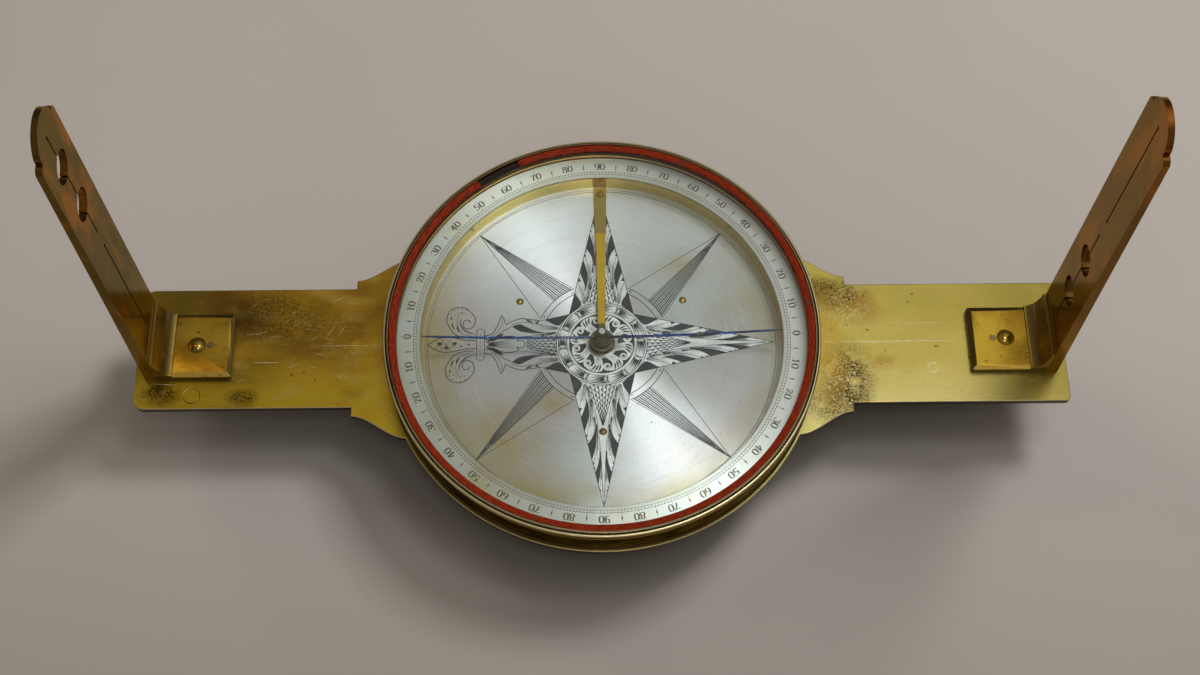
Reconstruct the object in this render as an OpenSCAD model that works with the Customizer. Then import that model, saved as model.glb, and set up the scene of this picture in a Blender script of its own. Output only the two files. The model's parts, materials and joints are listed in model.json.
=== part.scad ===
// Surveyor's compass: a brass plate with a glazed compass box in the middle, a
// slit sight at each end and a staff socket below. Lengths are in millimetres.
// North is -X, the far side is +Y, and the socket's lower face is at z = 0.

/* [Base plate] */
// Length of the plate from end to end
plate_len = 356; // [340:1:400]
// Thickness of the plate
plate_t = 3; // [2.6:0.1:4.5]
// Width of each arm
arm_w = 50.2; // [46:0.2:54]
// Width of each shoulder at its step
shoulder_w = 57.4; // [55:0.2:62]
// Distance from the plate's round middle to the step
shoulder_out = 12; // [8:0.5:16]
// Margin of the plate's round middle outside the box
disc_margin = 0.5; // [0.2:0.1:2]
// Corner radius at the north end
north_corner_r = 4.5; // [1:0.5:6]
// Corner radius at the south end
south_corner_r = 2; // [1:0.5:6]
// Diameter of the flush plug in the north arm
plug_d = 6; // [4:0.5:7]
// Distance of the plug's centre from the north end
plug_in = 22; // [18:0.5:24]
// Distance of the plug's centre from the arm's near edge
plug_edge = 5.4; // [4:0.2:6]

/* [Compass box] */
// Thickness of the box wall
box_wall_t = 4; // [3.6:0.1:5]
// Height of the box wall above the plate
box_h = 15.4; // [15.2:0.1:18]
// How far the rim bead and foot bead stand out
bead_out = 0.8; // [0.4:0.1:1.4]
// Width of the rebate that holds the glass
rebate_w = 2.6; // [1.8:0.1:2.8]
// Height of the rebate's ledge above the plate
ledge_z = 12.8; // [12.8:0.1:13.2]
// Thickness of the cover glass
glass_t = 1.4; // [1:0.1:1.6]
// Thickness of the retaining ring
seal_t = 0.9; // [0.6:0.1:1]
// Width of the retaining ring
seal_w = 3.1; // [2:0.1:4]
// Angle at which the retaining ring's split starts
split_from = 114.1; // [100:0.1:118]
// Angle of the retaining ring's split
split_angle = 12.5; // [2:0.5:20]
// Number of screws that hold the box wall
box_screw_count = 6; // [3:1:8]
// Diameter of those screws
box_screw_d = 2.4; // [2:0.1:2.6]

/* [Dial] */
// Thickness of the dial plate
dial_t = 0.8; // [0.6:0.1:1.2]
// Height of the graduated ring's face above the plate
ring_z = 8.6; // [7:0.1:9]
// Width of the graduated ring
ring_w = 9; // [8:0.1:11]
// Number of rivets that hold the dial plate
rivet_count = 3; // [3:1:6]
// Diameter of the circle that the rivets lie on
rivet_circle_d = 73; // [66:1:80]
// Diameter of a rivet's head
rivet_d = 3; // [2.4:0.1:4]

/* [Needle] */
// Length of the needle
needle_len = 137; // [130:0.5:145]
// Gap between the needle's ends and the graduated ring
needle_gap = 0.5; // [0.4:0.1:1]
// Thickness of the needle's bar
needle_t = 0.55; // [0.5:0.05:0.8]
// Depth of the bar at its middle
needle_h = 1.7; // [1.5:0.1:2]
// Depth of the bar at its ends
needle_end_h = 0.9; // [0.7:0.1:1.3]
// Height of the bar's middle line above the plate, at the cap
needle_z = 6.4; // [6.3:0.1:6.5]
// How far the bowed bar rises from the cap to its ends
needle_bow = 3.7; // [3:0.1:4.2]
// Angle of the needle from the north line at rest
needle_rest = 0.6; // [-10:0.1:10]
// Distance of the dip weight from the needle's middle
dip_out = 37.4; // [30:0.1:50]
// Length of the dip weight
dip_len = 2.2; // [1.5:0.1:4]
// Largest diameter of the cap
cap_d = 7.3; // [6.8:0.1:8]
// Diameter of the cap's upper knob
cap_knob_d = 3.6; // [3.4:0.1:4.4]
// Height of the cap's top above the plate
cap_top_z = 12; // [11.8:0.1:12]
// Diameter of the jewel
jewel_d = 2.4; // [2.2:0.1:2.6]
// Diameter of the steel pivot
pivot_d = 1.2; // [1:0.05:1.4]
// Diameter of the pivot base's flange
pivot_base_d = 10; // [9:0.5:11]

/* [Needle lifter] */
// Thickness of the lever
lever_t = 0.8; // [0.6:0.05:0.9]
// Width of the lever at its outer end
lever_end_w = 5.2; // [4.8:0.1:6]
// Width of the lever at its bend
lever_bend_w = 4.5; // [4:0.1:4.8]
// Width of the lever where it meets its ring
lever_ring_w = 2.5; // [1.8:0.1:3]
// Distance from the lifter screw to the lever's bend
lever_bend_in = 0.5; // [0.3:0.1:2]
// Outside diameter of the lever's ring
lift_ring_d = 9.4; // [8.6:0.1:10]
// How far the lifter screw's tip rises
lift_travel = 0.25; // [0.2:0.01:0.26]
// Diameter of the lifter screw
lift_screw_d = 3.6; // [3:0.1:3.8]
// Diameter of the lifter screw's head
lift_head_d = 18; // [12:0.5:20]

/* [Sights] */
// Height of each sight above the plate
vane_h = 162; // [160:1:175]
// Width of a sight at its foot
vane_w = 26.4; // [26:0.1:28]
// Width of a sight at its shoulders
vane_top_w = 25.4; // [24:0.1:26]
// Thickness of a sight at its foot
vane_t = 4.4; // [3.6:0.1:5]
// Thickness of a sight at its top
vane_top_t = 2.1; // [1.6:0.1:3]
// Distance from the plate's end to a sight's inner face
vane_in = 8.4; // [7:0.1:10]
// Distance from a sight's top down to its shoulders
shoulder_down = 12; // [11:0.5:14]
// Width of the round head
head_w = 19.2; // [17:0.1:20.4]
// Width of the slits
slit_w = 0.6; // [0.4:0.05:1]
// Diameter of the sight holes
sight_hole_d = 11.5; // [9:0.1:12]
// Diameter of the round ends of the slits
slit_eye_d = 1.3; // [1:0.1:2]
// Lower end of the lower slit
low_slit_z = 24; // [20:0.5:30]
// Upper end of the lower slit
low_slit_top_z = 84; // [80:0.5:88]
// Lower end of the upper slit
high_slit_z = 94; // [91:0.5:98]
// Distance from a sight's top down to the upper slit's upper end
slit_down = 9; // [7:0.5:16]
// Height of the lower sight hole in the south sight
south_hole_z = 42.5; // [40:0.5:44]
// Height of the lower sight hole in the north sight
north_hole_z = 112; // [108:0.5:114]
// Distance between the two sight holes
sight_hole_gap = 23.6; // [20:0.1:26]
// Length of a sight's foot along the arm
foot_len = 28.6; // [26:0.2:32]
// Width of a sight's foot
foot_w = 26.4; // [24:0.1:27]
// Thickness of the foot's pad
pad_t = 3.3; // [2.8:0.1:4]
// Height of the foot's coved back
cove_z = 14.6; // [12:0.1:16]
// Width of the bevel round the pad
pad_bevel = 1.9; // [0.8:0.1:2.4]
// Depth of that bevel
pad_drop = 0.8; // [0.4:0.1:1.4]
// Radius of the pad's two free corners
pad_corner_r = 1.2; // [0.4:0.1:2]
// Diameter of the screw that holds a foot
foot_screw_d = 6.4; // [5:0.1:7]
// Distance from a sight's inner face to its screw
foot_screw_in = 14.6; // [13:0.1:16]
// Height of that screw's domed end above the pad
foot_dome = 1.2; // [0.6:0.1:1.6]
// Diameter of the steady pin
steady_d = 2.2; // [1.6:0.1:2.6]
// Distance from the screw to the steady pin
steady_in = 5; // [4.8:0.1:6]
// Diameter of a foot screw's head
foot_head_d = 16; // [12:0.5:20]
// Thickness of the screw heads
head_t = 5; // [3:0.5:7]

/* [Staff socket] */
// Length of the socket below the plate
socket_len = 30; // [26:1:40]
// Diameter of the socket's bore
socket_bore_d = 19; // [17:0.5:21]
// Depth of the socket's bore
socket_depth = 26; // [20:0.5:27]
// Thickness of the socket's wall
socket_wall = 4.2; // [3.5:0.1:5]
// Diameter of the socket's flange
flange_d = 46; // [44:1:50]
// Thickness of the flange
flange_t = 3; // [2.5:0.5:4]
// Diameter of the socket's foot ring
foot_ring_d = 34; // [32:1:40]
// Height of the foot ring
foot_ring_h = 4; // [3:0.5:5]
// Number of screws in the flange
socket_screw_count = 4; // [3:1:6]
// Diameter of the flange's screws
socket_screw_d = 3; // [2:0.1:3.4]
// Diameter of the clamp screw
clamp_d = 5; // [4:0.1:6]
// Height of the clamp screw's axis
clamp_z = 13; // [12:0.5:14]
// Length of the boss that holds the clamp screw
clamp_boss = 5; // [3:0.5:8]
// Diameter of the clamp screw's head
clamp_head_d = 15; // [10:0.5:16]

/* [Fits] */
// Radial clearance of a screw or pin in a hole it moves in
run_gap = 0.06; // [0.03:0.01:0.1]
// Clearance of fixed pieces that are let into each other
fit_gap = 0.04; // [0.02:0.01:0.08]
// Clearance between faces that part when something moves
part_gap = 0.02; // [0.01:0.01:0.03]
// Clearance left under the cap and over it when the needle is lifted
lift_gap = 0.08; // [0.05:0.01:0.1]

/* [Hidden] */
$fn = 96;

brass = "darkgoldenrod";
old_brass = "peru";
bright_brass = "goldenrod";
silvering = "lightsteelblue";
blued = "midnightblue";
eps = 0.01;
top = socket_len + plate_t;

ring_bore_r = needle_len / 2 + needle_gap;
box_bore_r = ring_bore_r + ring_w;
box_r = box_bore_r + box_wall_t;
rim_r = box_r + bead_out;
disc_r = rim_r + disc_margin;
rebate_r = box_bore_r + rebate_w;
step_x = disc_r + shoulder_out;
shoulder_meet = 27;
box_screw_r = box_bore_r + box_wall_t / 2;
box_screw_depth = 6;
countersink = 1.3;
slot_w = 0.6;
slot_depth = 0.6;
screw_start = 30;
glass_top_z = ledge_z + glass_t;

dial_r = box_bore_r - fit_gap;
rivet_dome = rivet_d * 0.24;
rivet_start = 30;

cap_r = cap_d / 2;
cap_knob_r = cap_knob_d / 2;
bar_low_z = needle_z - needle_h / 2;
bar_high_z = needle_z + needle_h / 2;
cap_low_z = bar_low_z - part_gap;
collar_t = 0.9;
collar_r = cap_r - 0.45;
collar_low_z = cap_low_z - collar_t;
eye_r = cap_r * 0.6;
pin_clear_r = pivot_d / 2 + 0.7;
jewel_seat = 1.4;
jewel_low_z = cap_top_z - jewel_seat;
jewel_bore_r = jewel_d / 2 - 0.25;
jewel_dome = 0.2;
jewel_cup = 0.7;
jewel_cup_r = 0.8;
pivot_tip_z = jewel_low_z + jewel_cup - lift_gap / 2;
dip_wall = 0.35;

lift_free = ledge_z - cap_top_z - jewel_dome - lift_gap;
ring_rest_gap = 0.4;
ring_lift = lift_free + ring_rest_gap - lift_gap;
lift_ring_z = collar_low_z - ring_rest_gap - lever_t;
lift_ring_bore = pin_clear_r;
lever_low_z = dial_t + part_gap;
lever_end_y = ring_bore_r - 0.5;
lift_screw_y = lever_end_y - lever_end_y * lift_travel / ring_lift;
lever_bend_y = lift_screw_y - lever_bend_in;
lever_screw_y = lever_end_y - 3;
lever_screw_r = 0.9;
lever_screw_head_r = 1.4;
lever_screw_head_t = 0.8;
lever_screw_play = 0.12;

end_x = plate_len / 2;
vane_x = end_x - vane_in;
foot_screw_x = vane_x - foot_screw_in;
steady_x = foot_screw_x - steady_in;
shoulder_z = vane_h - shoulder_down;
high_slit_top_z = vane_h - slit_down;
head_rise = shoulder_down - 5;
head_base_z = vane_h - head_rise;
head_r = (head_w * head_w / 4 + head_rise * head_rise) / (2 * head_rise);
ovolo = (vane_top_w - head_w) / 2 - 0.9;
cove_run = 5.3;
cove_land = 1;
cove_start = 0.5;
shoulder_step = 0.6;

socket_r = socket_bore_d / 2 + socket_wall;
socket_screw_r = flange_d / 2 - 4.5;
clamp_tip_y = socket_bore_d / 2 + run_gap;
clamp_seat_y = socket_r + clamp_boss;

// Points of an arc round c, from angle a to angle b in n steps
function arc(c, r, a, b, n) = [for (i = [0:n]) c + r * [cos(a + (b - a) * i / n), sin(a + (b - a) * i / n)]];

// An S-curve from p to q that starts and ends along x
function cyma(p, q, n) = [
  for (i = [0:n]) let (t = i / n) [p[0] + (q[0] - p[0]) * t, p[1] + (q[1] - p[1]) * t * t * (3 - 2 * t)]
];

// Height of the bowed needle's middle line at distance x
function bow(x) = needle_z + needle_bow * pow(x / (needle_len / 2), 2);

// Half depth of the needle's bar at distance x
function bar_half(x) = (needle_h + (needle_end_h - needle_h) * abs(x) / (needle_len / 2)) / 2;

// A hole through the plate and what lies on it
module plate_hole(x, y, r) {
  translate([x, y, -eps]) cylinder(r = r, h = top + box_h);
}

// A screw whose flat head is let in from below, with its head's face at z
module flat_screw(x, y, z, d, depth) {
  translate([x, y, z]) {
    cylinder(r1 = d / 2 + countersink, r2 = d / 2, h = countersink);
    cylinder(r = d / 2, h = depth);
  }
}

// A flat screw at distance x whose slot lies across the line to the middle
module slotted_screw(x, z, d, depth) {
  difference() {
    flat_screw(x, 0, z, d, depth);
    translate([x, 0, z]) cube([slot_w, d * 3, slot_depth * 2], center = true);
  }
}

// A screw head with a hub above and scallops round its edge, hub face at z = 0
module scalloped_head(d, t, hub_r) {
  hub_h = 1.2;
  scallops = 14;
  difference() {
    union() {
      translate([0, 0, -hub_h]) cylinder(r = hub_r, h = hub_h);
      translate([0, 0, -hub_h - t]) rotate_extrude() polygon([
        [0, 0], [d / 2 - 1.4, 0], [d / 2, 1.1], [d / 2, t - 0.7], [d / 2 - 0.7, t], [0, t]
      ]);
    }
    for (i = [0:scallops - 1]) rotate([0, 0, i * 360 / scallops])
      translate([d / 2 + 0.35, 0, -hub_h - t - eps]) cylinder(r = 0.9, h = t + 2 * eps, $fn = 24);
  }
}

// Half of the plate on one side, from the middle to the arm's end
module plate_half(corner_r) {
  meet = disc_r * [cos(shoulder_meet), sin(shoulder_meet)];
  upper = concat(
    [[0, meet[1]]],
    [for (p = cyma([step_x, shoulder_w / 2], meet, 14)) p]
  );
  side = concat(
    [[0, meet[1]], meet],
    [for (i = [1:14]) upper[15 - i]],
    [[step_x, arm_w / 2]],
    arc([end_x - corner_r, arm_w / 2 - corner_r], corner_r, 90, 0, 8)
  );
  linear_extrude(plate_t) polygon(concat(side, [for (i = [len(side) - 1:-1:0]) [side[i][0], -side[i][1]]]));
}

module main_plate() {
  color(brass) difference() {
    translate([0, 0, socket_len]) union() {
      plate_half(south_corner_r);
      mirror([1, 0, 0]) plate_half(north_corner_r);
      cylinder(r = disc_r, h = plate_t, $fn = 180);
    }
    plate_hole(0, 0, pivot_base_d / 4 + fit_gap);
    plate_hole(0, lift_screw_y, lift_screw_d / 2 + run_gap);
    plate_hole(-end_x + plug_in, -arm_w / 2 + plug_edge, plug_d / 2 + fit_gap);
    for (side = [-1, 1]) {
      plate_hole(side * foot_screw_x, 0, foot_screw_d / 2 + run_gap);
      plate_hole(side * steady_x, 0, steady_d / 2 + run_gap);
    }
    for (i = [0:rivet_count - 1]) rotate([0, 0, rivet_start + i * 360 / rivet_count])
      plate_hole(rivet_circle_d / 2, 0, rivet_d / 4 + fit_gap);
    for (i = [0:box_screw_count - 1]) rotate([0, 0, screw_start + i * 360 / box_screw_count])
      flat_screw(box_screw_r, 0, socket_len - eps, box_screw_d + 2 * fit_gap, plate_t + 1);
    for (i = [0:socket_screw_count - 1]) rotate([0, 0, 45 + i * 360 / socket_screw_count])
      translate([socket_screw_r, 0, socket_len - eps]) cylinder(r = socket_screw_d / 2 + fit_gap, h = plate_t * 0.8);
    translate([0, lever_screw_y, top - plate_t * 0.7]) cylinder(r = lever_screw_r - 0.2 + fit_gap, h = plate_t);
  }
}

module plate_plug() {
  color(brass) translate([-end_x + plug_in, -arm_w / 2 + plug_edge, socket_len]) cylinder(r = plug_d / 2, h = plate_t);
}

module box_wall() {
  rim_low = box_h - 2.2;
  bead_r = 0.7;
  outline = concat(
    [[box_bore_r, 0], [box_r + bead_out * 0.6, 0], [box_r + bead_out * 0.6, 0.7], [box_r, 1.3]],
    [[box_r, rim_low]],
    arc([rim_r - bead_r, rim_low + bead_r], bead_r, -60, 75, 6),
    arc([rim_r - 0.7, box_h - 0.1], 0.75, -100, -175, 4),
    [[rim_r - 1.7, box_h - 0.4], [rim_r - 1.9, box_h], [rebate_r, box_h], [rebate_r, ledge_z], [box_bore_r, ledge_z]]
  );
  color(bright_brass) difference() {
    translate([0, 0, top]) rotate_extrude($fn = 180) polygon(outline);
    for (i = [0:box_screw_count - 1]) rotate([0, 0, screw_start + i * 360 / box_screw_count])
      translate([box_screw_r, 0, top - eps])
        cylinder(r = box_screw_d / 2 + fit_gap, h = box_screw_depth + fit_gap + eps);
  }
}

module box_screws() {
  color(brass) for (i = [0:box_screw_count - 1]) rotate([0, 0, screw_start + i * 360 / box_screw_count])
    slotted_screw(box_screw_r, socket_len, box_screw_d, plate_t + box_screw_depth);
}

module cover_glass() {
  color("azure", 0.3) translate([0, 0, top + ledge_z]) cylinder(r = rebate_r - fit_gap, h = glass_t, $fn = 180);
}

module glass_retaining_ring() {
  color("firebrick") translate([0, 0, top + glass_top_z]) difference() {
    rotate_extrude($fn = 180) polygon([
      [rebate_r - fit_gap - seal_w, 0], [rebate_r - fit_gap, 0], [rebate_r - fit_gap, seal_t - 0.2],
      [rebate_r - fit_gap - 0.3, seal_t], [rebate_r - fit_gap - seal_w + 0.4, seal_t],
      [rebate_r - fit_gap - seal_w, seal_t - 0.4]
    ]);
    translate([0, 0, -eps]) linear_extrude(seal_t + 1) polygon([
      [0, 0],
      rim_r * 1.1 * [cos(split_from), sin(split_from)],
      rim_r * 1.1 * [cos(split_from + split_angle), sin(split_from + split_angle)]
    ]);
  }
}

module dial_plate() {
  color(silvering) difference() {
    translate([0, 0, top]) cylinder(r = dial_r, h = dial_t, $fn = 180);
    plate_hole(0, 0, pivot_base_d / 4 + fit_gap);
    plate_hole(0, lift_screw_y, lift_screw_d / 2 + run_gap);
    plate_hole(0, lever_screw_y, lever_screw_r - 0.2 + fit_gap);
    for (i = [0:rivet_count - 1]) rotate([0, 0, rivet_start + i * 360 / rivet_count])
      plate_hole(rivet_circle_d / 2, 0, rivet_d / 4 + fit_gap);
  }
}

module dial_rivets() {
  dome_r = (rivet_d * rivet_d / 4 + rivet_dome * rivet_dome) / (2 * rivet_dome);
  color(bright_brass) for (i = [0:rivet_count - 1]) rotate([0, 0, rivet_start + i * 360 / rivet_count])
    translate([rivet_circle_d / 2, 0, 0]) {
      translate([0, 0, socket_len]) cylinder(r = rivet_d / 4, h = plate_t + dial_t);
      translate([0, 0, top + dial_t]) intersection() {
        translate([0, 0, rivet_dome - dome_r]) sphere(r = dome_r);
        cylinder(r = rivet_d / 2, h = rivet_dome);
      }
    }
}

module graduated_ring() {
  color(silvering) translate([0, 0, top]) rotate_extrude($fn = 180) polygon([
    [ring_bore_r, dial_t], [dial_r, dial_t], [dial_r, ring_z], [ring_bore_r + 0.15, ring_z],
    [ring_bore_r, ring_z - 0.15]
  ]);
}

module pivot_base() {
  base_t = 0.7;
  neck_z = lift_ring_z - 0.3;
  color(old_brass) difference() {
    translate([0, 0, top]) rotate_extrude() polygon(concat(
      [[0, -plate_t], [pivot_base_d / 4, -plate_t], [pivot_base_d / 4, dial_t], [pivot_base_d / 2, dial_t]],
      [[pivot_base_d / 2, dial_t + base_t * 0.6], [pivot_base_d / 2 - 0.4, dial_t + base_t]],
      [[pivot_d / 2 + 1.1, dial_t + base_t], [pivot_d / 2 + 0.45, neck_z], [0, neck_z]]
    ));
    translate([0, 0, top - plate_t / 2]) cylinder(r = pivot_d / 2 + fit_gap / 2, h = neck_z + plate_t, $fn = 32);
  }
}

module pivot_point() {
  point_h = 1.2;
  color("slategray") translate([0, 0, top]) {
    translate([0, 0, -plate_t / 2]) cylinder(r = pivot_d / 2, h = pivot_tip_z - point_h + plate_t / 2, $fn = 32);
    translate([0, 0, pivot_tip_z - point_h]) cylinder(r1 = pivot_d / 2, r2 = 0.06, h = point_h, $fn = 32);
  }
}

// The needle's bowed bar as a side view, grown by g all round
module bar_side(g) {
  steps = 16;
  half = needle_len / 2;
  rotate([90, 0, 0]) linear_extrude(needle_t + 2 * g, center = true) polygon(concat(
    [for (i = [-steps:steps]) let (x = half * i / steps) [x, bow(x) + bar_half(x) + g]],
    [for (i = [steps:-1:-steps]) let (x = half * i / steps) [x, bow(x) - bar_half(x) - g]]
  ));
}

module needle_bar() {
  half = needle_len / 2;
  point = 5;
  color(blued) translate([0, 0, top]) rotate([0, 0, needle_rest]) difference() {
    union() {
      intersection() {
        bar_side(0);
        linear_extrude(ledge_z) polygon([
          [-half, 0], [-half + point, needle_t / 2], [half - point, needle_t / 2],
          [half, 0], [half - point, -needle_t / 2], [-half + point, -needle_t / 2]
        ]);
      }
      translate([0, 0, bar_low_z]) cylinder(r = eye_r, h = needle_h);
    }
    cylinder(r = pin_clear_r, h = ledge_z);
  }
}

module needle_dip_weight() {
  color("darkslateblue") translate([0, 0, top]) rotate([0, 0, needle_rest]) difference() {
    translate([dip_out, 0, bow(dip_out)]) rotate([0, 90, 0]) intersection() {
      cylinder(r = bar_half(dip_out) + dip_wall, h = dip_len, center = true);
      cube([needle_h + 2 * dip_wall + 1, needle_t + 2 * dip_wall, dip_len + 1], center = true);
    }
    bar_side(fit_gap);
  }
}

module needle_cap() {
  neck_z = cap_top_z - 3.2;
  color("darkolivegreen") translate([0, 0, top]) difference() {
    rotate_extrude() polygon(concat(
      [[0, cap_low_z], [cap_r - 0.12, cap_low_z], [cap_r, cap_low_z + 0.35]],
      [for (i = [0:10]) let (t = i / 10)
        [cap_r + (cap_knob_r - 0.15 - cap_r) * (1 - cos(90 * t)), cap_low_z + 0.5 + (neck_z - cap_low_z - 0.5) * t]],
      [[cap_knob_r, neck_z + 0.4]],
      [[cap_knob_r, cap_top_z - 0.7], [cap_knob_r - 0.35, cap_top_z - 0.15], [cap_knob_r - 0.6, cap_top_z]],
      [[0, cap_top_z]]
    ));
    translate([0, 0, cap_low_z - eps]) cylinder(r = eye_r + fit_gap, h = needle_h + part_gap + fit_gap);
    cylinder(r = pin_clear_r, h = jewel_low_z - 0.8);
    cylinder(r = jewel_bore_r, h = ledge_z);
    translate([0, 0, jewel_low_z]) cylinder(r = jewel_d / 2 + run_gap, h = jewel_seat + 1);
    rotate([0, 0, needle_rest]) {
      bar_side(fit_gap);
      translate([-cap_r - 1, -needle_t / 2 - fit_gap, bar_low_z - 1])
        cube([cap_d + 2, needle_t + 2 * fit_gap, 1 + needle_h / 2]);
    }
  }
}

module cap_collar() {
  color("darkolivegreen") translate([0, 0, top]) difference() {
    rotate_extrude() polygon([
      [0, collar_low_z], [collar_r - 0.5, collar_low_z], [collar_r, collar_low_z + 0.4], [collar_r, cap_low_z], [0, cap_low_z]
    ]);
    cylinder(r = pin_clear_r, h = ledge_z);
  }
}

module cap_jewel() {
  dome_r = (jewel_d * jewel_d / 4 + jewel_dome * jewel_dome) / (2 * jewel_dome);
  color("whitesmoke") translate([0, 0, top]) difference() {
    union() {
      translate([0, 0, jewel_low_z + part_gap]) cylinder(r = jewel_d / 2, h = jewel_seat - part_gap);
      translate([0, 0, cap_top_z]) intersection() {
        translate([0, 0, jewel_dome - dome_r]) sphere(r = dome_r);
        cylinder(r = jewel_d / 2, h = jewel_dome);
      }
    }
    translate([0, 0, jewel_low_z - eps]) cylinder(r1 = jewel_cup_r, r2 = 0, h = jewel_cup, $fn = 32);
  }
}

module lifter_lever() {
  ring_r = lift_ring_d / 2;
  color("gold") translate([0, 0, top]) difference() {
    union() {
      intersection() {
        rotate([90, 0, 90]) linear_extrude(lever_end_w + 2, center = true) polygon([
          [lever_end_y, lever_low_z], [lever_end_y, lever_low_z + lever_t],
          [lever_bend_y, lever_low_z + lever_t], [ring_r * 0.7, lift_ring_z + lever_t],
          [ring_r * 0.7, lift_ring_z], [lever_bend_y, lever_low_z]
        ]);
        linear_extrude(ledge_z) polygon([
          [lever_ring_w / 2, 0], [lever_bend_w * 0.42, lever_bend_y - 2], [lever_bend_w / 2, lever_bend_y],
          [lever_end_w / 2, lever_end_y], [-lever_end_w / 2, lever_end_y], [-lever_bend_w / 2, lever_bend_y],
          [-lever_bend_w * 0.42, lever_bend_y - 2], [-lever_ring_w / 2, 0]
        ]);
      }
      translate([0, 0, lift_ring_z]) cylinder(r = ring_r, h = lever_t);
    }
    cylinder(r = lift_ring_bore, h = ledge_z);
    translate([0, lever_screw_y, 0]) cylinder(r = lever_screw_r + lever_screw_play, h = ledge_z, $fn = 32);
  }
}

module lifter_lever_screw() {
  under_head = lever_low_z + lever_t + lever_screw_play;
  color(brass) translate([0, lever_screw_y, top]) difference() {
    union() {
      translate([0, 0, -plate_t * 0.7 + fit_gap]) cylinder(r = lever_screw_r - 0.2, h = plate_t, $fn = 32);
      translate([0, 0, dial_t]) cylinder(r = lever_screw_r, h = under_head - dial_t, $fn = 32);
      translate([0, 0, under_head]) cylinder(r = lever_screw_head_r, h = lever_screw_head_t * 0.7);
      translate([0, 0, under_head + lever_screw_head_t * 0.7])
        cylinder(r1 = lever_screw_head_r, r2 = lever_screw_head_r - 0.3, h = lever_screw_head_t * 0.3);
    }
    translate([0, 0, under_head + lever_screw_head_t]) rotate([0, 0, 15])
      cube([lever_screw_head_r * 3, slot_w, lever_screw_head_t], center = true);
  }
}

module lifter_screw_shank() {
  tip = 0.4;
  shank_r = lift_screw_d / 2;
  shank_h = plate_t + dial_t - tip;
  color(brass) translate([0, lift_screw_y, socket_len]) {
    translate([0, 0, -lift_drop()]) cylinder(r = shank_r, h = shank_h + lift_drop());
    translate([0, 0, shank_h]) cylinder(r1 = shank_r, r2 = shank_r - 2 * tip, h = tip);
  }
}

// Room between the plate and the lifter screw's head, so that it can rise
function lift_drop() = lift_travel + 0.35;

module lifter_screw_head() {
  color(brass) translate([0, lift_screw_y, socket_len - lift_drop() - part_gap])
    scalloped_head(lift_head_d, head_t, lift_head_d * 0.3);
}

// Outline of a sight from the front: tapered sides, ovolo shoulders and a round head
function sight_outline() = let (
  head_centre_z = vane_h - head_r,
  head_from = asin((head_base_z - head_centre_z) / head_r),
  right = concat(
    [[vane_w / 2, 0], [vane_top_w / 2, shoulder_z]],
    arc([vane_top_w / 2 - ovolo, shoulder_z + shoulder_step], ovolo, 0, 90, 6),
    [[head_w / 2, shoulder_z + shoulder_step + ovolo]],
    arc([0, head_centre_z], head_r, head_from, 90, 12)
  )
) concat(right, [for (i = [len(right) - 2:-1:0]) [-right[i][0], right[i][1]]]);

// A sight with its inner face at x = 0, its foot at z = 0 and its body towards +X
module sight(hole_z) {
  difference() {
    intersection() {
      rotate([90, 0, 0]) linear_extrude(vane_w + 2, center = true)
        polygon([[0, 0], [vane_t, 0], [vane_top_t, vane_h + 1], [0, vane_h + 1]]);
      translate([-1, 0, 0]) rotate([90, 0, 90]) linear_extrude(vane_t + 2) polygon(sight_outline());
    }
    for (z = [[low_slit_z, low_slit_top_z], [high_slit_z, high_slit_top_z]]) {
      translate([-1, -slit_w / 2, z[0]]) cube([vane_t + 2, slit_w, z[1] - z[0]]);
      for (e = z) translate([-1, 0, e]) rotate([0, 90, 0]) cylinder(r = slit_eye_d / 2, h = vane_t + 2, $fn = 24);
    }
    for (z = [hole_z, hole_z + sight_hole_gap])
      translate([-1, 0, z]) rotate([0, 90, 0]) cylinder(r = sight_hole_d / 2, h = vane_t + 2);
  }
}

// A coved foot whose back is at x = 0 and whose pad runs towards -X
module foot() {
  cove_x = -cove_land - cove_run;
  cove_low_z = pad_t + cove_start;
  difference() {
    union() {
      intersection() {
        rotate([90, 0, 0]) linear_extrude(foot_w + 2, center = true) polygon([
          [cove_x + 1, 0], [-foot_len, 0], [-foot_len, pad_t - pad_drop], [-foot_len + pad_bevel, pad_t], [cove_x + 1, pad_t]
        ]);
        translate([-foot_len - 1, 0, 0]) rotate([90, 0, 90]) linear_extrude(foot_len) polygon([
          [-foot_w / 2, 0], [foot_w / 2, 0], [foot_w / 2, pad_t - pad_drop], [foot_w / 2 - pad_bevel, pad_t],
          [-foot_w / 2 + pad_bevel, pad_t], [-foot_w / 2, pad_t - pad_drop]
        ]);
        hull() for (side = [-1, 1], along = [-foot_len + pad_corner_r, 0])
          translate([along, side * (foot_w / 2 - pad_corner_r), 0]) cylinder(r = pad_corner_r, h = pad_t, $fn = 32);
      }
      rotate([90, 0, 0]) linear_extrude(foot_w, center = true) polygon(concat(
        [[0, 0], [cove_x, 0], [cove_x, cove_low_z]],
        [for (i = [1:12]) let (a = 90 * i / 12)
          [cove_x + cove_run * sin(a), cove_low_z + (cove_z - cove_low_z) * (1 - cos(a))]],
        [[0, cove_z]]
      ));
    }
    translate([-foot_screw_in, 0, -1]) cylinder(r = foot_screw_d / 2 + run_gap, h = cove_z);
    translate([-foot_screw_in - steady_in, 0, -1]) cylinder(r = steady_d / 2 + fit_gap, h = cove_z);
  }
}

// Turns what is drawn for the south end round to the north end
module at_end(side) {
  translate([0, 0, top + part_gap]) mirror([side < 0 ? 1 : 0, 0, 0]) children();
}

module steady_pin() {
  translate([steady_x, 0, -plate_t * 0.9]) cylinder(r = steady_d / 2, h = plate_t * 0.9 + pad_t, $fn = 48);
}

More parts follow.
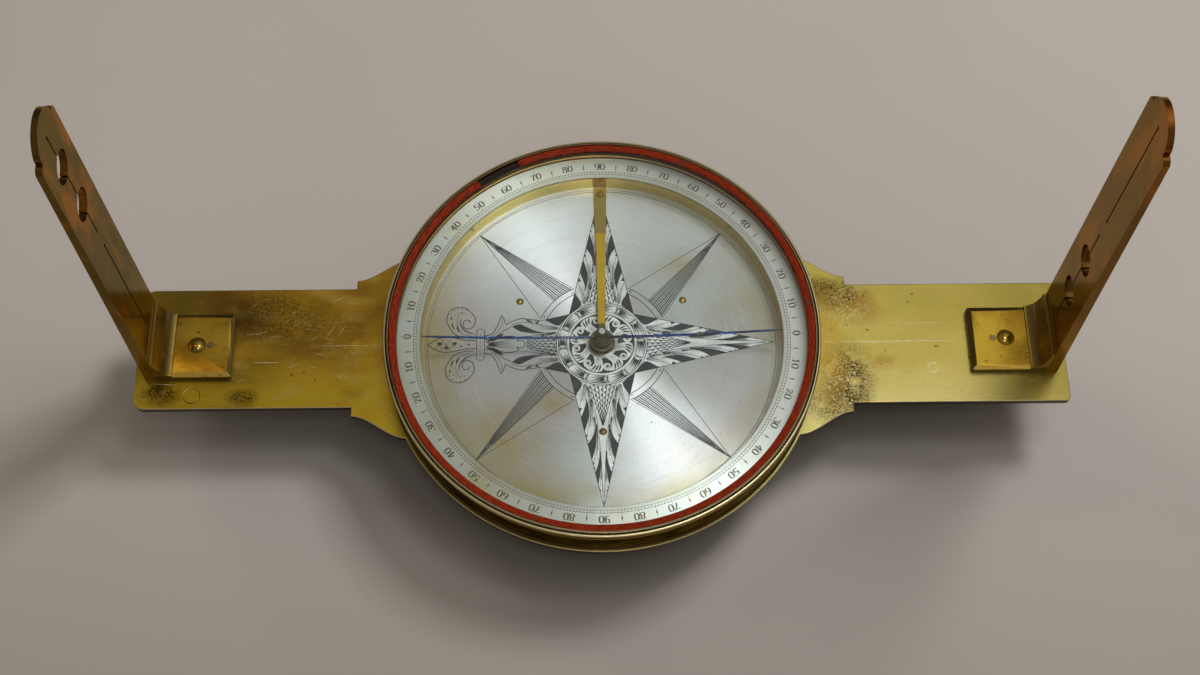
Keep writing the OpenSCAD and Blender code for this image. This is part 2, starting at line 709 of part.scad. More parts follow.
module foot_screw_shank() {
  r = foot_screw_d / 2;
  dome_r = (r * r + foot_dome * foot_dome) / (2 * foot_dome);
  translate([foot_screw_x, 0, -plate_t - part_gap]) cylinder(r = r, h = plate_t + part_gap + pad_t);
  translate([foot_screw_x, 0, pad_t]) intersection() {
    translate([0, 0, foot_dome - dome_r]) sphere(r = dome_r);
    cylinder(r = r, h = foot_dome);
  }
}

module foot_screw_head() {
  translate([foot_screw_x, 0, -plate_t - 2 * part_gap]) scalloped_head(foot_head_d, head_t, foot_screw_d * 0.8);
}

module north_sight_vane() {
  color(brass) at_end(-1) translate([vane_x, 0, 0]) sight(north_hole_z);
}

module south_sight_vane() {
  color(brass) at_end(1) translate([vane_x, 0, 0]) sight(south_hole_z);
}

module north_vane_foot() {
  color(bright_brass) at_end(-1) translate([vane_x, 0, 0]) foot();
}

module south_vane_foot() {
  color(bright_brass) at_end(1) translate([vane_x, 0, 0]) foot();
}

module north_steady_pin() {
  color(old_brass) at_end(-1) steady_pin();
}

module south_steady_pin() {
  color(old_brass) at_end(1) steady_pin();
}

module north_foot_screw_shank() {
  color(bright_brass) at_end(-1) foot_screw_shank();
}

module south_foot_screw_shank() {
  color(bright_brass) at_end(1) foot_screw_shank();
}

module north_foot_screw_head() {
  color(brass) at_end(-1) foot_screw_head();
}

module south_foot_screw_head() {
  color(brass) at_end(1) foot_screw_head();
}

module staff_socket() {
  neck_h = socket_len - flange_t;
  color(brass) difference() {
    union() {
      rotate_extrude() polygon(concat(
        [[0, 0], [foot_ring_d / 2 - 0.6, 0], [foot_ring_d / 2, 0.6], [foot_ring_d / 2, foot_ring_h - 1]],
        [[foot_ring_d / 2 - 1, foot_ring_h], [socket_r + 0.8, foot_ring_h], [socket_r, foot_ring_h + 0.8]],
        arc([socket_r + 3, neck_h - 3], 3, 180, 90, 8),
        [[flange_d / 2, neck_h], [flange_d / 2, socket_len], [0, socket_len]]
      ));
      translate([0, socket_r - 1, clamp_z]) rotate([-90, 0, 0]) cylinder(r = clamp_d / 2 + 2.6, h = clamp_boss + 1);
    }
    translate([0, 0, -eps]) cylinder(r = socket_bore_d / 2, h = socket_depth + eps);
    translate([0, 0, clamp_z]) rotate([-90, 0, 0]) cylinder(r = clamp_d / 2 + run_gap, h = clamp_seat_y + 1);
    for (i = [0:socket_screw_count - 1]) rotate([0, 0, 45 + i * 360 / socket_screw_count])
      flat_screw(socket_screw_r, 0, neck_h - eps, socket_screw_d + 2 * fit_gap, flange_t + 1);
  }
}

module socket_screws() {
  color(old_brass) for (i = [0:socket_screw_count - 1]) rotate([0, 0, 45 + i * 360 / socket_screw_count])
    slotted_screw(socket_screw_r, socket_len - flange_t, socket_screw_d, flange_t + plate_t * 0.7);
}

module clamp_screw_shank() {
  color(brass) translate([0, clamp_tip_y, clamp_z]) rotate([-90, 0, 0])
    cylinder(r = clamp_d / 2, h = clamp_seat_y + clamp_stand() - clamp_tip_y);
}

// Room between the boss and the clamp screw's head, so that it can be turned in
function clamp_stand() = 2;

module clamp_screw_head() {
  color(brass) translate([0, clamp_seat_y + clamp_stand() + part_gap, clamp_z]) rotate([90, 0, 0])
    scalloped_head(clamp_head_d, head_t, clamp_d * 0.8);
}

main_plate();
plate_plug();
box_wall();
box_screws();
cover_glass();
glass_retaining_ring();
dial_plate();
dial_rivets();
graduated_ring();
pivot_base();
pivot_point();
needle_bar();
needle_dip_weight();
needle_cap();
cap_collar();
cap_jewel();
lifter_lever();
lifter_lever_screw();
lifter_screw_shank();
lifter_screw_head();
north_sight_vane();
north_vane_foot();
north_steady_pin();
north_foot_screw_shank();
north_foot_screw_head();
south_sight_vane();
south_vane_foot();
south_steady_pin();
south_foot_screw_shank();
south_foot_screw_head();
staff_socket();
socket_screws();
clamp_screw_shank();
clamp_screw_head();
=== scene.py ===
import json
import bmesh
import bpy
import numpy as np
from math import comb, cos, pi, radians, sin
from mathutils import Matrix, Vector

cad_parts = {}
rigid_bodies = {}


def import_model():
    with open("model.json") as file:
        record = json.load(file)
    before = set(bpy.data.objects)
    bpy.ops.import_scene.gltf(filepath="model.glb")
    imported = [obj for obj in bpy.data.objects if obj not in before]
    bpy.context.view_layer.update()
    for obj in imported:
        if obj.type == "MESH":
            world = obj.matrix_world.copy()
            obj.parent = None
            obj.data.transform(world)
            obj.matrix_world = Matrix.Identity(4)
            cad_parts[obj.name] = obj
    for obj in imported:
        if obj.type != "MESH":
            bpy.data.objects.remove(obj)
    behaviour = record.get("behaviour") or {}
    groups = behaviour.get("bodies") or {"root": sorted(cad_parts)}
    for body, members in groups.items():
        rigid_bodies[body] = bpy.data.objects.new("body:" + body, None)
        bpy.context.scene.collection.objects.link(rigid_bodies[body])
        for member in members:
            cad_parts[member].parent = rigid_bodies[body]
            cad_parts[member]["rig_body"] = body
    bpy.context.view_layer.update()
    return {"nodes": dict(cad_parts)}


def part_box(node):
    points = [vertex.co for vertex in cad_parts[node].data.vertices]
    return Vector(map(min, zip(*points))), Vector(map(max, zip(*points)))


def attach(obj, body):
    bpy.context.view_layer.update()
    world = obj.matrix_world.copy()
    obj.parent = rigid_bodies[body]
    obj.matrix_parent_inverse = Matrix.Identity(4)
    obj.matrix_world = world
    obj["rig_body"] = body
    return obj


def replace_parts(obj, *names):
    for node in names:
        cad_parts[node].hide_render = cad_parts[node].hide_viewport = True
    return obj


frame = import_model()

# The base plate is hard brass sheet, sawn and filed to its outline, with an arm under each sight.
# Its lacquer has worn off in brown clouds, damp has pitted it beside the box, and a line is scribed
# along each arm. A round plug is let flush into the north arm.
MM = 0.001
PLATE_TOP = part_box("main_plate")[1].z
GOLD = (0.78, 0.62, 0.155)
OLIVE = (0.64, 0.51, 0.11)
TAN = (0.7, 0.41, 0.04)
BROWN = (0.27, 0.14, 0.022)
RUST = (0.48, 0.22, 0.035)
DARK_STAIN = (0.095, 0.05, 0.012)
# Pale brass: corroded grains, and the painted highlight along the plate's near bevels.
PALE_GRAIN_AND_HIGHLIGHT = (0.95, 0.8, 0.5)
SHARP = radians(28)


def feed(tree, socket, value):
    """Gives a socket its value, which is another node's output, a number, a vector or a colour."""
    if isinstance(value, bpy.types.NodeSocket):
        tree.links.new(value, socket)
    elif socket.type == "RGBA":
        socket.default_value = (*value, 1)
    else:
        socket.default_value = value


def node(tree, kind, values=None, **settings):
    """Adds a node with its settings, feeds the inputs that values names, and gives its outputs."""
    made = tree.nodes.new("ShaderNode" + kind)
    for name, value in settings.items():
        setattr(made, name, value)
    for socket, value in (values or {}).items():
        feed(tree, made.inputs[socket], value)
    return made.outputs


def surface_of(name, roughness, metallic=1, fixed=None):
    """A new material, with its constants on the shader's own sockets, and its node tree."""
    material = bpy.data.materials.new(name)
    material.use_nodes = True
    tree = material.node_tree
    for socket, value in {"Roughness": roughness, "Metallic": metallic, **(fixed or {})}.items():
        tree.nodes["Principled BSDF"].inputs[socket].default_value = value
    return material, tree


def finished(material, tone, rough=None, height=None, depth=0):
    """The material with its colour, its roughness and a relief of depth metres where height is 1."""
    tree = material.node_tree
    shader = tree.nodes["Principled BSDF"].inputs
    feed(tree, shader["Base Color"], tone)
    if rough is not None:
        feed(tree, shader["Roughness"], rough)
    if height is not None:
        bump = node(tree, "Bump", {"Strength": 1, "Distance": depth, "Height": height})
        feed(tree, shader["Normal"], bump["Normal"])
    return material


def placed(tree, centre=(0, 0, 0), size=(1, 1, 1)):
    """Object coordinates measured from centre in units of size, both in metres."""
    values = {"Vector": node(tree, "TexCoord")["Object"], "Location": centre, "Scale": size}
    return node(tree, "Mapping", values, vector_type="TEXTURE")["Vector"]


def parts_of(tree, vector=None):
    """The x, y and z of a vector, or else of the place on the piece in metres."""
    return tuple(node(tree, "SeparateXYZ", {0: placed(tree) if vector is None else vector}))


def facing(tree):
    """The x, y and z of the way that the surface faces."""
    return parts_of(tree, node(tree, "NewGeometry")["Normal"])


def length_of(tree, vector):
    """How long a vector is."""
    return node(tree, "VectorMath", {0: vector}, operation="LENGTH")["Value"]


def noise_at(tree, vector, detail):
    """Noise from 0 to 1 with lumps one unit of the vector wide."""
    return node(tree, "TexNoise", {"Vector": vector, "Scale": 1, "Detail": detail})[0]


def grain(tree, size, seed, detail=4):
    """Noise with lumps of a size in millimetres, one number or three for x, y and z."""
    offset = (seed * 0.37, seed * 0.11, seed * 0.23)
    return noise_at(tree, placed(tree, offset, np.broadcast_to(size, 3) * MM), detail)


def spread(tree, value, low, high, start=0, end=1):
    """A value between low and high drawn out to run from start to end, and held beyond them."""
    ends = {"Value": value, "From Min": low, "From Max": high, "To Min": start, "To Max": end}
    return node(tree, "MapRange", ends)["Result"]


def mottle(tree, size, seed, detail, *limits):
    """Grain drawn out between limits, which are the last arguments of spread."""
    return spread(tree, grain(tree, size, seed, detail), *limits)


def calc(tree, operation, a, b):
    """One sum of two values."""
    return node(tree, "Math", {0: a, 1: b}, operation=operation)[0]


def times(tree, a, b):
    """Two values multiplied."""
    return calc(tree, "MULTIPLY", a, b)


def coats(tree, tone, *layers):
    """Colours laid over tone one after another, each with the share from 0 to 1 that it covers."""
    for share, colour in layers:
        tone = node(tree, "Mix", {0: share, 6: tone, 7: colour}, data_type="RGBA")[2]
    return tone


def near(tree, centre, size, full):
    """1 at a place, fading from the share full of its size to 0 on the ellipsoid of that size."""
    return spread(tree, length_of(tree, placed(tree, centre, size)), full, 1, 1, 0)


def flat_spot(tree, top, place, full, tall=0.02):
    """The same on a level face at height top: place is x, y and two half widths, in millimetres."""
    x, y, wide, deep = (MM * number for number in place)
    return near(tree, (x, y, top), (wide, deep, tall), full)


def stand(name, mesh, body):
    """Puts a mesh into the scene as a piece that moves with a body."""
    piece = bpy.data.objects.new(name, mesh)
    bpy.context.scene.collection.objects.link(piece)
    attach(piece, body)
    return piece


def dress(name, material, edge):
    """A copy of a CAD piece, merged, given its finish and its edges broken by edge millimetres."""
    source = frame["nodes"][name]
    mesh = source.data.copy()
    build = bmesh.new()
    build.from_mesh(mesh)
    bmesh.ops.remove_doubles(build, verts=build.verts, dist=0.001 * MM)
    build.to_mesh(mesh)
    build.free()
    if "custom_normal" in mesh.attributes:
        mesh.attributes.remove(mesh.attributes["custom_normal"])
    mesh.materials.clear()
    mesh.materials.append(material)
    mesh.shade_smooth()
    mesh.set_sharp_from_angle(angle=SHARP)
    piece = stand(name + ".finished", mesh, source["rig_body"])
    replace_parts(piece, name)
    if edge:
        bevel = piece.modifiers.new("broken_edges", "BEVEL")
        bevel.width = edge * MM
        bevel.segments = 2
        bevel.limit_method = "ANGLE"
        bevel.angle_limit = SHARP
        bevel.use_clamp_overlap = False
        bevel.loop_slide = False
        bevel.harden_normals = True


def plate_brass():
    """Hand-rubbed sheet brass: brown clouds, long fine scratches, pits and damp stains, with a painted
    highlight on its near bevels and painted shade on its far-facing edges, sides and underside.
    """
    material, tree = surface_of("plate_brass", 0.3)
    x, y, _ = parts_of(tree)
    _, way_y, way_z = facing(tree)
    rubbed = times(tree, spread(tree, y, -0.002, -0.02),
                   mottle(tree, (24, 12, 12), 4, 5, 0.34, 0.58, 0.25, 0.9))
    far_end = coats(tree, (0.3, 0.2, 0.03), (spread(tree, y, -0.004, -0.018), (0.84, 0.62, 0.055)))
    west = coats(tree, TAN, (mottle(tree, (36, 24, 24), 3, 5, 0.4, 0.62), BROWN),
                 (rubbed, (0.8, 0.56, 0.045)), (spread(tree, x, -0.146, -0.156, 0, 0.75), far_end))
    east = coats(tree, GOLD, (mottle(tree, (40, 20, 20), 7, 4, 0.35, 0.7), OLIVE),
                 (spread(tree, y, -0.006, -0.03, 0, 0.5), (1, 0.88, 0.42)),
                 (spread(tree, x, 0.135, 0.165, 0, 0.75), (0.46, 0.36, 0.07)))
    tone = coats(tree, west, (spread(tree, x, -0.085, 0.085), east),
                 (mottle(tree, (14.4, 8, 8), 11, 6, 0.54, 0.72, 0, 0.5), GOLD))
    speckle = spread(tree, mottle(tree, 0.9, 5, 3, 0.44, 0.58), 0, 1, 0.45, 1)
    for seed, (place, colour, full) in enumerate((
        ((91, 20.5, 16, 8.5), DARK_STAIN, 0.95), ((80, 24, 12, 7), DARK_STAIN, 0.9),
        ((100, 15, 11, 9), RUST, 0.7), ((93.5, -15, 12.5, 18), DARK_STAIN, 1),
        ((90, -25.5, 15, 11), DARK_STAIN, 0.9), ((108, -8.5, 5, 4), RUST, 0.8),
        ((86, 0, 10, 30), TAN, 0.7), ((-127, 13, 26, 16), DARK_STAIN, 0.75),
        ((-105, 4, 20, 15), BROWN, 0.6), ((-168, -19, 10, 6), DARK_STAIN, 0.95),
        ((-137, -20.5, 8, 4), DARK_STAIN, 0.9),
    ), 20):
        share = times(tree, flat_spot(tree, PLATE_TOP, place, 0.45),
                      mottle(tree, 6, seed, 6, 0.28, 0.5, 0, full))
        tone = coats(tree, tone, (times(tree, share, speckle), colour))
    for seed, place in enumerate(((93.5, -16, 12, 20), (95, 15, 13, 12)), 34):
        share = times(tree, flat_spot(tree, PLATE_TOP, place, 0.3),
                      mottle(tree, 1, seed, 3, 0.58, 0.64, 0, 0.9))
        tone = coats(tree, tone, (share, PALE_GRAIN_AND_HIGHLIGHT))
    # Painted light by the way each face turns: a painted highlight on bevels that face the near side, and
    # painted shade on faces turned to the far side and on the sides and underside.
    near_edge_highlight = times(tree, spread(tree, way_y, -0.2, -0.5), spread(tree, way_z, 0.2, 0.5))
    tone = coats(tree, tone, (mottle(tree, 2.4, 31, 2, 0.7, 0.76), BROWN),
                 (spread(tree, way_y, 0.25, 0.6), (0.08, 0.05, 0.015)), (near_edge_highlight, PALE_GRAIN_AND_HIGHLIGHT),
                 (spread(tree, way_z, 0.35, 0.1), (0.05, 0.034, 0.012)))
    scratches = grain(tree, (10.5, 0.35, 0.35), 9, 3)
    height = calc(tree, "ADD", times(tree, scratches, 0.04), grain(tree, (14.4, 9, 9), 13))
    return finished(material, tone, spread(tree, scratches, 0.3, 0.7, 0.26, 0.32), height, 0.03 * MM)


plate_finish = plate_brass()
dress("main_plate", plate_finish, 0.35)
dress("plate_plug", plate_finish, 0.12)


def curve(points, t):
    """A smooth line from the first point to the last, drawn towards the points between them."""
    p = np.asarray(points, float)
    n = len(p) - 1
    shares = [comb(n, k) * t ** k * (1 - t) ** (n - k) for k in range(n + 1)]
    return np.stack(shares, axis=-1) @ p


def between(left, right):
    """A ribbon from one edge to the other, each a row of points, as an array (n, 2, 2)."""
    return np.stack([left, right], axis=-2)


def stroke(path, half):
    """A ribbon that lies half to each side of a path."""
    step = np.gradient(path, axis=-2)
    side = np.stack([-step[..., 1], step[..., 0]], axis=-1)
    side /= np.linalg.norm(side, axis=-1, keepdims=True)
    half = np.broadcast_to(half, path.shape[:-1])[..., None]
    return between(path + side * half, path - side * half)


def turned(ribbons, degrees):
    """Copies of ribbons turned about the middle, one for each angle."""
    a = np.radians(np.atleast_1d(degrees))
    turn = np.array([[np.cos(a), np.sin(a)], [-np.sin(a), np.cos(a)]]).transpose(2, 0, 1)
    return np.einsum("...c,kcd->k...d", ribbons, turn)


def mirrored(ribbons):
    """Ribbons reflected across the x axis, with their sides swapped so that they still face up."""
    return ribbons[..., ::-1, :] * (1, -1)


hole_low, hole_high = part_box("lifter_screw_shank")
LIFT_HOLE = np.array([hole_low.x + hole_high.x, hole_low.y + hole_high.y]) / 2
LIFT_HOLE_R = (hole_high.x - hole_low.x) / 2 + 0.2 * MM


def lay(name, ribbons, z, material):
    """Lays ribbons, in millimetres, on a fixed piece at height z, clear of the lifter screw's hole."""
    rows, faces, start = [], [], 0
    for ribbon in ribbons:
        ribbon = ribbon.reshape(-1, *ribbon.shape[-3:])
        count, n = ribbon.shape[:2]
        corner = start + 2 * (np.arange(count)[:, None] * n + np.arange(n - 1))
        faces.append(np.stack([corner, corner + 1, corner + 3, corner + 2], axis=-1).reshape(-1, 4))
        rows.append(ribbon.reshape(-1, 2))
        start += 2 * count * n
    flat = np.concatenate(rows) * MM
    faces = np.concatenate(faces)
    clear = np.linalg.norm(flat[faces] - LIFT_HOLE, axis=-1).min(axis=1) > LIFT_HOLE_R
    mesh = bpy.data.meshes.new(name)
    mesh.from_pydata(np.column_stack([flat, np.full(len(flat), z)]).tolist(), [], faces[clear].tolist())
    mesh.materials.append(material)
    stand(name, mesh, "plate_assembly")


def two_tone(name, roughness, metallic, noise, tone, clouds, fixed=None):
    """A finish in one tone with clouds of another, whose mottle has the arguments noise."""
    material, tree = surface_of(name, roughness, metallic, fixed)
    return finished(material, coats(tree, tone, (mottle(tree, *noise), clouds)))


def plate_scratches():
    """The scribed centre lines, a ring mark, corroded specks and short scratches along each arm."""
    dice = np.random.default_rng(8)
    many, specks = 70, 40
    t = np.linspace(0, 1, 4)[None, :, None]
    hair = 0.022 * np.array([0.3, 1, 1, 0.3])

    def dashes(start, angle, length):
        """Short strokes from each start, widest along their middle."""
        run = length[:, None] * np.column_stack([np.cos(angle), np.sin(angle)])
        return stroke(start[:, None] + run[:, None] * t, hair)

    start = np.column_stack([dice.uniform(92, 140, many), dice.uniform(-22, 22, many)])
    start[::2, 0] *= -1
    fine = dashes(start, dice.normal(0, 0.35, many), dice.uniform(0.8, 6, many))
    start = np.column_stack([dice.normal(-92, 5, specks), dice.normal(-8, 5, specks)])
    stars = dashes(start, dice.uniform(0, pi, specks), dice.uniform(0.3, 1.6, specks))
    lines = [
        ((84.6, 0.5), (136, 0.4), 0.11), ((97, 0), (121, -0.1), 0.06), ((111, 8.2), (136, 8.1), 0.05),
        ((-84.7, 0.7), (-111.8, 0.6), 0.045), ((-122.8, -6.1), (-133.8, -6.2), 0.05),
        ((-131, 5.8), (-137, 5.9), 0.03), ((133.4, -5.6), (133.6, -9), 0.08),
        ((-103, 9), (-106.5, 3.5), 0.035), ((-98.5, 10), (-101.5, 5), 0.03),
        ((-172, -14.6), (-162, -15.2), 0.06), ((-166, -17.5), (-167, -19.5), 0.05),
    ]
    ends = np.linspace(0, 1, 12)
    swell = np.sin(pi * (0.08 + 0.84 * ends))
    round_turn = np.linspace(0, 2 * pi, 28)
    mark = np.column_stack([126.7 + 2 * np.cos(round_turn), -10.8 + 2 * np.sin(round_turn)])
    scribed = [stroke(curve([a, b], ends), half * swell) for a, b, half in lines]
    return [fine, stars, stroke(mark, 0.14)] + scribed


scratch_brass = two_tone("scratch_brass", 0.5, 0.35, (2, 4, 4, 0.4, 0.62), (1, 0.94, 0.66), (0.72, 0.6, 0.3))
lay("plate_scratches", plate_scratches(), PLATE_TOP + 0.012 * MM, scratch_brass)

# The compass box is a turned brass wall with a bead round its foot and a beaded rim, held to the
# plate by six flat screws from below. Its top is rebated for the glass and its outside is dark
# between beads that carry painted highlights, with painted shade where it meets the plate.
BOX_GOLD = (0.15, 0.115, 0.045)
BOX_BROWN = (0.055, 0.042, 0.018)
RIM_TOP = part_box("box_wall")[1].z


def turned_brass(name, bright, dark, share, roughness, seed):
    """Brass off the lathe, and its tone: clouds of tarnish over fine rings, which lie level in z."""
    material, tree = surface_of(name, roughness)
    clouds = mottle(tree, (10, 10, 6), seed, 5, share - 0.12, share + 0.12)
    tone = coats(tree, dark, (clouds, bright), (mottle(tree, 1.6, seed + 1, 3, 0.52, 0.75, 0, 0.5), dark))
    rings = grain(tree, (40, 40, 0.2), seed + 2, 2)
    rough = spread(tree, rings, 0.3, 0.7, roughness - 0.05, roughness + 0.1)
    return finished(material, tone, rough, rings, 0.008 * MM), tone


def radius_of(tree):
    """The distance from the middle axis, in metres."""
    return length_of(tree, placed(tree, size=(1, 1, 1e6)))


def line_mask(tree, value, at, half, fade, full=1):
    """The share full where value is within half of at, gone a fade further off, all in metres."""
    off = calc(tree, "ABSOLUTE", calc(tree, "SUBTRACT", value, at), 0)
    return spread(tree, off, half, half + fade, full, 0)


def box_brass():
    """The turned brass, its rim dark between two painted highlight lines, with a painted highlight on a bead
    and painted shade at its foot.
    """
    material, tone = turned_brass("box_brass", BOX_GOLD, BOX_BROWN, 0.5, 0.22, 40)
    tree = material.node_tree
    z = parts_of(tree)[2]
    top = spread(tree, z, RIM_TOP - 1.6 * MM, RIM_TOP - 1.2 * MM)
    tone = coats(tree, tone, (top, (0.09, 0.055, 0.025)))
    # Painted highlights: two thin bright lines along the edges of the rim's top.
    for radius, half in ((81 * MM, 0.22 * MM), (82.35 * MM, 0.3 * MM)):
        share = times(tree, line_mask(tree, radius_of(tree), radius, half, half * 0.6), top)
        tone = coats(tree, tone, (share, (0.9, 0.76, 0.42)))
    # Bands round the wall: a dark band under the rim, a painted highlight along a bead, and painted shade at
    # the foot where the wall meets the plate.
    for height, half, colour in (
        (RIM_TOP - 3.6 * MM, 1.3 * MM, (0.07, 0.032, 0.012)),
        (RIM_TOP - 5.2 * MM, 0.35 * MM, (0.85, 0.52, 0.15)),
        (PLATE_TOP, 1.1 * MM, (0.1, 0.07, 0.028)),
    ):
        tone = coats(tree, tone, (line_mask(tree, z, height, half, 0.2 * MM, 0.85), colour))
    tint = tree.nodes["Principled BSDF"].inputs["Specular Tint"]
    feed(tree, tint, coats(tree, tone, (0.4, (1, 0.94, 0.84))))
    return finished(material, tone)


dress("box_wall", box_brass(), 0.18)
screw_finish, _ = turned_brass("screw_brass", (0.66, 0.44, 0.09), (0.3, 0.18, 0.035), 0.5, 0.16, 50)
dress("box_screws", screw_finish, 0.1)

# The dial is a brass disc rubbed with silvering paste while it turned, so that fine rings show,
# with old lacquer gone yellow at its rim. The compass rose is cut with a graver and its lines
# are filled with black wax, and three small rivets hold the disc to the plate.
DIAL_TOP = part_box("dial_plate")[1].z
SILVER = (0.72, 0.8, 0.79)
LILAC = (0.67, 0.63, 0.61)
YELLOWED = (0.44, 0.37, 0.13)


def silvered(name, roughness, rim_low, rim_high, seed):
    """Silvered brass with fine rings, yellow towards the rim: the material, its tone and roughness."""
    brushed = {"Anisotropic": 0.85, "Anisotropic Rotation": 0.25}
    material, tree = surface_of(name, roughness, 0.9, brushed)
    round_way = node(tree, "Tangent", direction_type="RADIAL", axis="Z")["Tangent"]
    feed(tree, tree.nodes["Principled BSDF"].inputs["Tangent"], round_way)
    radius = radius_of(tree)
    about = parts_of(tree, placed(tree, size=(0.03, 0.03, 1)))
    ringwise = {0: calc(tree, "DIVIDE", radius, 0.00022), 1: about[0], 2: about[1]}
    marks = noise_at(tree, node(tree, "CombineXYZ", ringwise)["Vector"], 3)
    rim = times(tree, spread(tree, radius, rim_low, rim_high),
                mottle(tree, 16, seed + 1, 5, 0.32, 0.62, 0.15, 0.95))
    tone = coats(
        tree, SILVER,
        (mottle(tree, 35, seed, 5, 0.35, 0.65), LILAC),
        (spread(tree, marks, 0.48, 0.8, 0, 0.35), (0.55, 0.58, 0.57)),
        (rim, YELLOWED),
        (mottle(tree, 1.6, seed + 4, 2, 0.735, 0.765), (0.09, 0.08, 0.06)),
    )
    return material, tone, spread(tree, marks, 0.3, 0.7, roughness - 0.05, roughness + 0.07)


def dial_silver():
    """The dial's silver: painted whiter at the far side as a reflection, with faint yellow stains and a
    painted golden reflection along its left edge.
    """
    material, tone, rough = silvered("silvered_dial", 0.31, 0.056, 0.07, 60)
    tree = material.node_tree
    # Painted reflection: the far side is painted whiter.
    tone = coats(tree, tone, (spread(tree, parts_of(tree)[1], 0.008, 0.05, 0, 0.65), (0.93, 1, 1)))
    # Yellow spots: stains, except the long spot along the left edge at (-62, 0), which paints in the
    # reflection of the ring's golden inner wall.
    for seed, (place, full) in enumerate((
        ((-19, -24.5, 10, 7), 0.8), ((-40, -43, 26, 26), 0.85), ((30, 33, 15, 11), 0.55),
        ((-62, 0, 18, 50), 0.5), ((-26, -60, 30, 14), 0.5), ((56, 18, 20, 30), 0.4),
    ), 71):
        share = times(tree, flat_spot(tree, DIAL_TOP, place, 0.1, 0.01),
                      mottle(tree, 12, seed, 4, 0.36, 0.66, 0.4 * full, full))
        tone = coats(tree, tone, (share, (0.52, 0.42, 0.12)))
    return finished(material, tone, rough)


dress("dial_plate", dial_silver(), 0)

# Engraver's wax, a little greenish, has worn thin in places. The cut leaves are paler than the dial.
wax = two_tone("black_wax", 0.5, 0, (5, 80, 5, 0.58, 0.72, 0, 0.5), (0.012, 0.017, 0.016), (0.1, 0.12, 0.11))
leaf_silver = two_tone("cut_silver", 0.42, 0.75, (4, 81, 4, 0.4, 0.7), (0.82, 0.86, 0.83), (0.66, 0.66, 0.6))
STAR_TIP = 66.4
STAR_VALLEY = 12.45
FINE = 0.125
EDGE_SLOPE = STAR_VALLEY / (STAR_TIP - STAR_VALLEY)


def through(points, count=24):
    """A smooth line through every point, drawn in count points itself."""
    p = np.asarray(points, float)
    p = np.concatenate([[2 * p[0] - p[1]], p, [2 * p[-1] - p[-2]]])
    u = np.linspace(0, len(p) - 3, count)
    i = np.minimum(u.astype(int), len(p) - 4)
    f = (u - i)[:, None]
    a, b, c, d = p[i], p[i + 1], p[i + 2], p[i + 3]
    return b + 0.5 * f * (c - a + f * (2 * a - 5 * b + 4 * c - d + f * (3 * (b - c) + d - a)))


def edge_w(s):
    """Half width of a star arm at distance s from the middle: straight from the tip to the valley."""
    return EDGE_SLOPE * (STAR_TIP - s)


def along_edge(s):
    """Points on an arm's upper edge."""
    s = np.asarray(s, float)
    return np.stack([s, edge_w(s)], axis=-1)


def polar(radius, degrees):
    """A point or a path by its distance from the middle and its angle."""
    a = np.radians(degrees)
    return np.stack([radius * np.cos(a), radius * np.sin(a)], axis=-1)


def ring_line(radius, half, turn=(0, 360), steps=240):
    """A line of even width along a circle or a part of it."""
    return stroke(polar(radius, np.linspace(*turn, steps)), half)


def horn(upper, s_from, s_to, lower):
    """A black horn from upper's first point, which runs along the arm's edge from s_from to s_to."""
    edge = along_edge(np.linspace(s_from, s_to, 9))
    over = np.concatenate([through([*upper, edge[0]], 16), edge[1:]])
    return between(over, through([upper[0], *lower, edge[-1]], 24))


def leaf_lines(root, tip, pull, count, gap):
    """Fine shading lines side by side, fading out from the root of a leaf towards its tip."""
    t = np.linspace(0, 0.72, 12)
    lines = []
    for i in range(count):
        shift = (i - (count - 1) / 2) * gap
        path = curve([(root[0] + 0.5 * abs(shift), root[1] + shift * 0.5), (pull[0], pull[1] + shift),
                      (tip[0], tip[1] + shift * 1.1)], t)
        lines.append(stroke(path, 0.12 * (1 - t / 0.72) ** 0.6 + 0.01))
    return np.stack(lines)


def notch(s, size):
    """A small black notch in an arm's edge, between two lobes of a leaf."""
    t = np.linspace(0, 1, 5)
    upper = along_edge(s - size * 0.6 + size * 1.4 * t)
    point = np.array([s - size * 0.35, edge_w(s) - size * 1.05])
    return between(upper, upper + (point - upper) * np.sin(pi * t)[:, None] * 0.9)


def arm_root():
    """The black root between two arms, up to the first lobe of a leaf."""
    over = along_edge(STAR_VALLEY + 9.45 * np.linspace(0, 1, 20))
    return between(over, through([(12.45, 12.45), (14.5, 9.9), (16.2, 7.9), (17.4, 7.85), (18.6, 8.3),
                                  (20.2, 9.3), (21.9, edge_w(21.9))], 20))


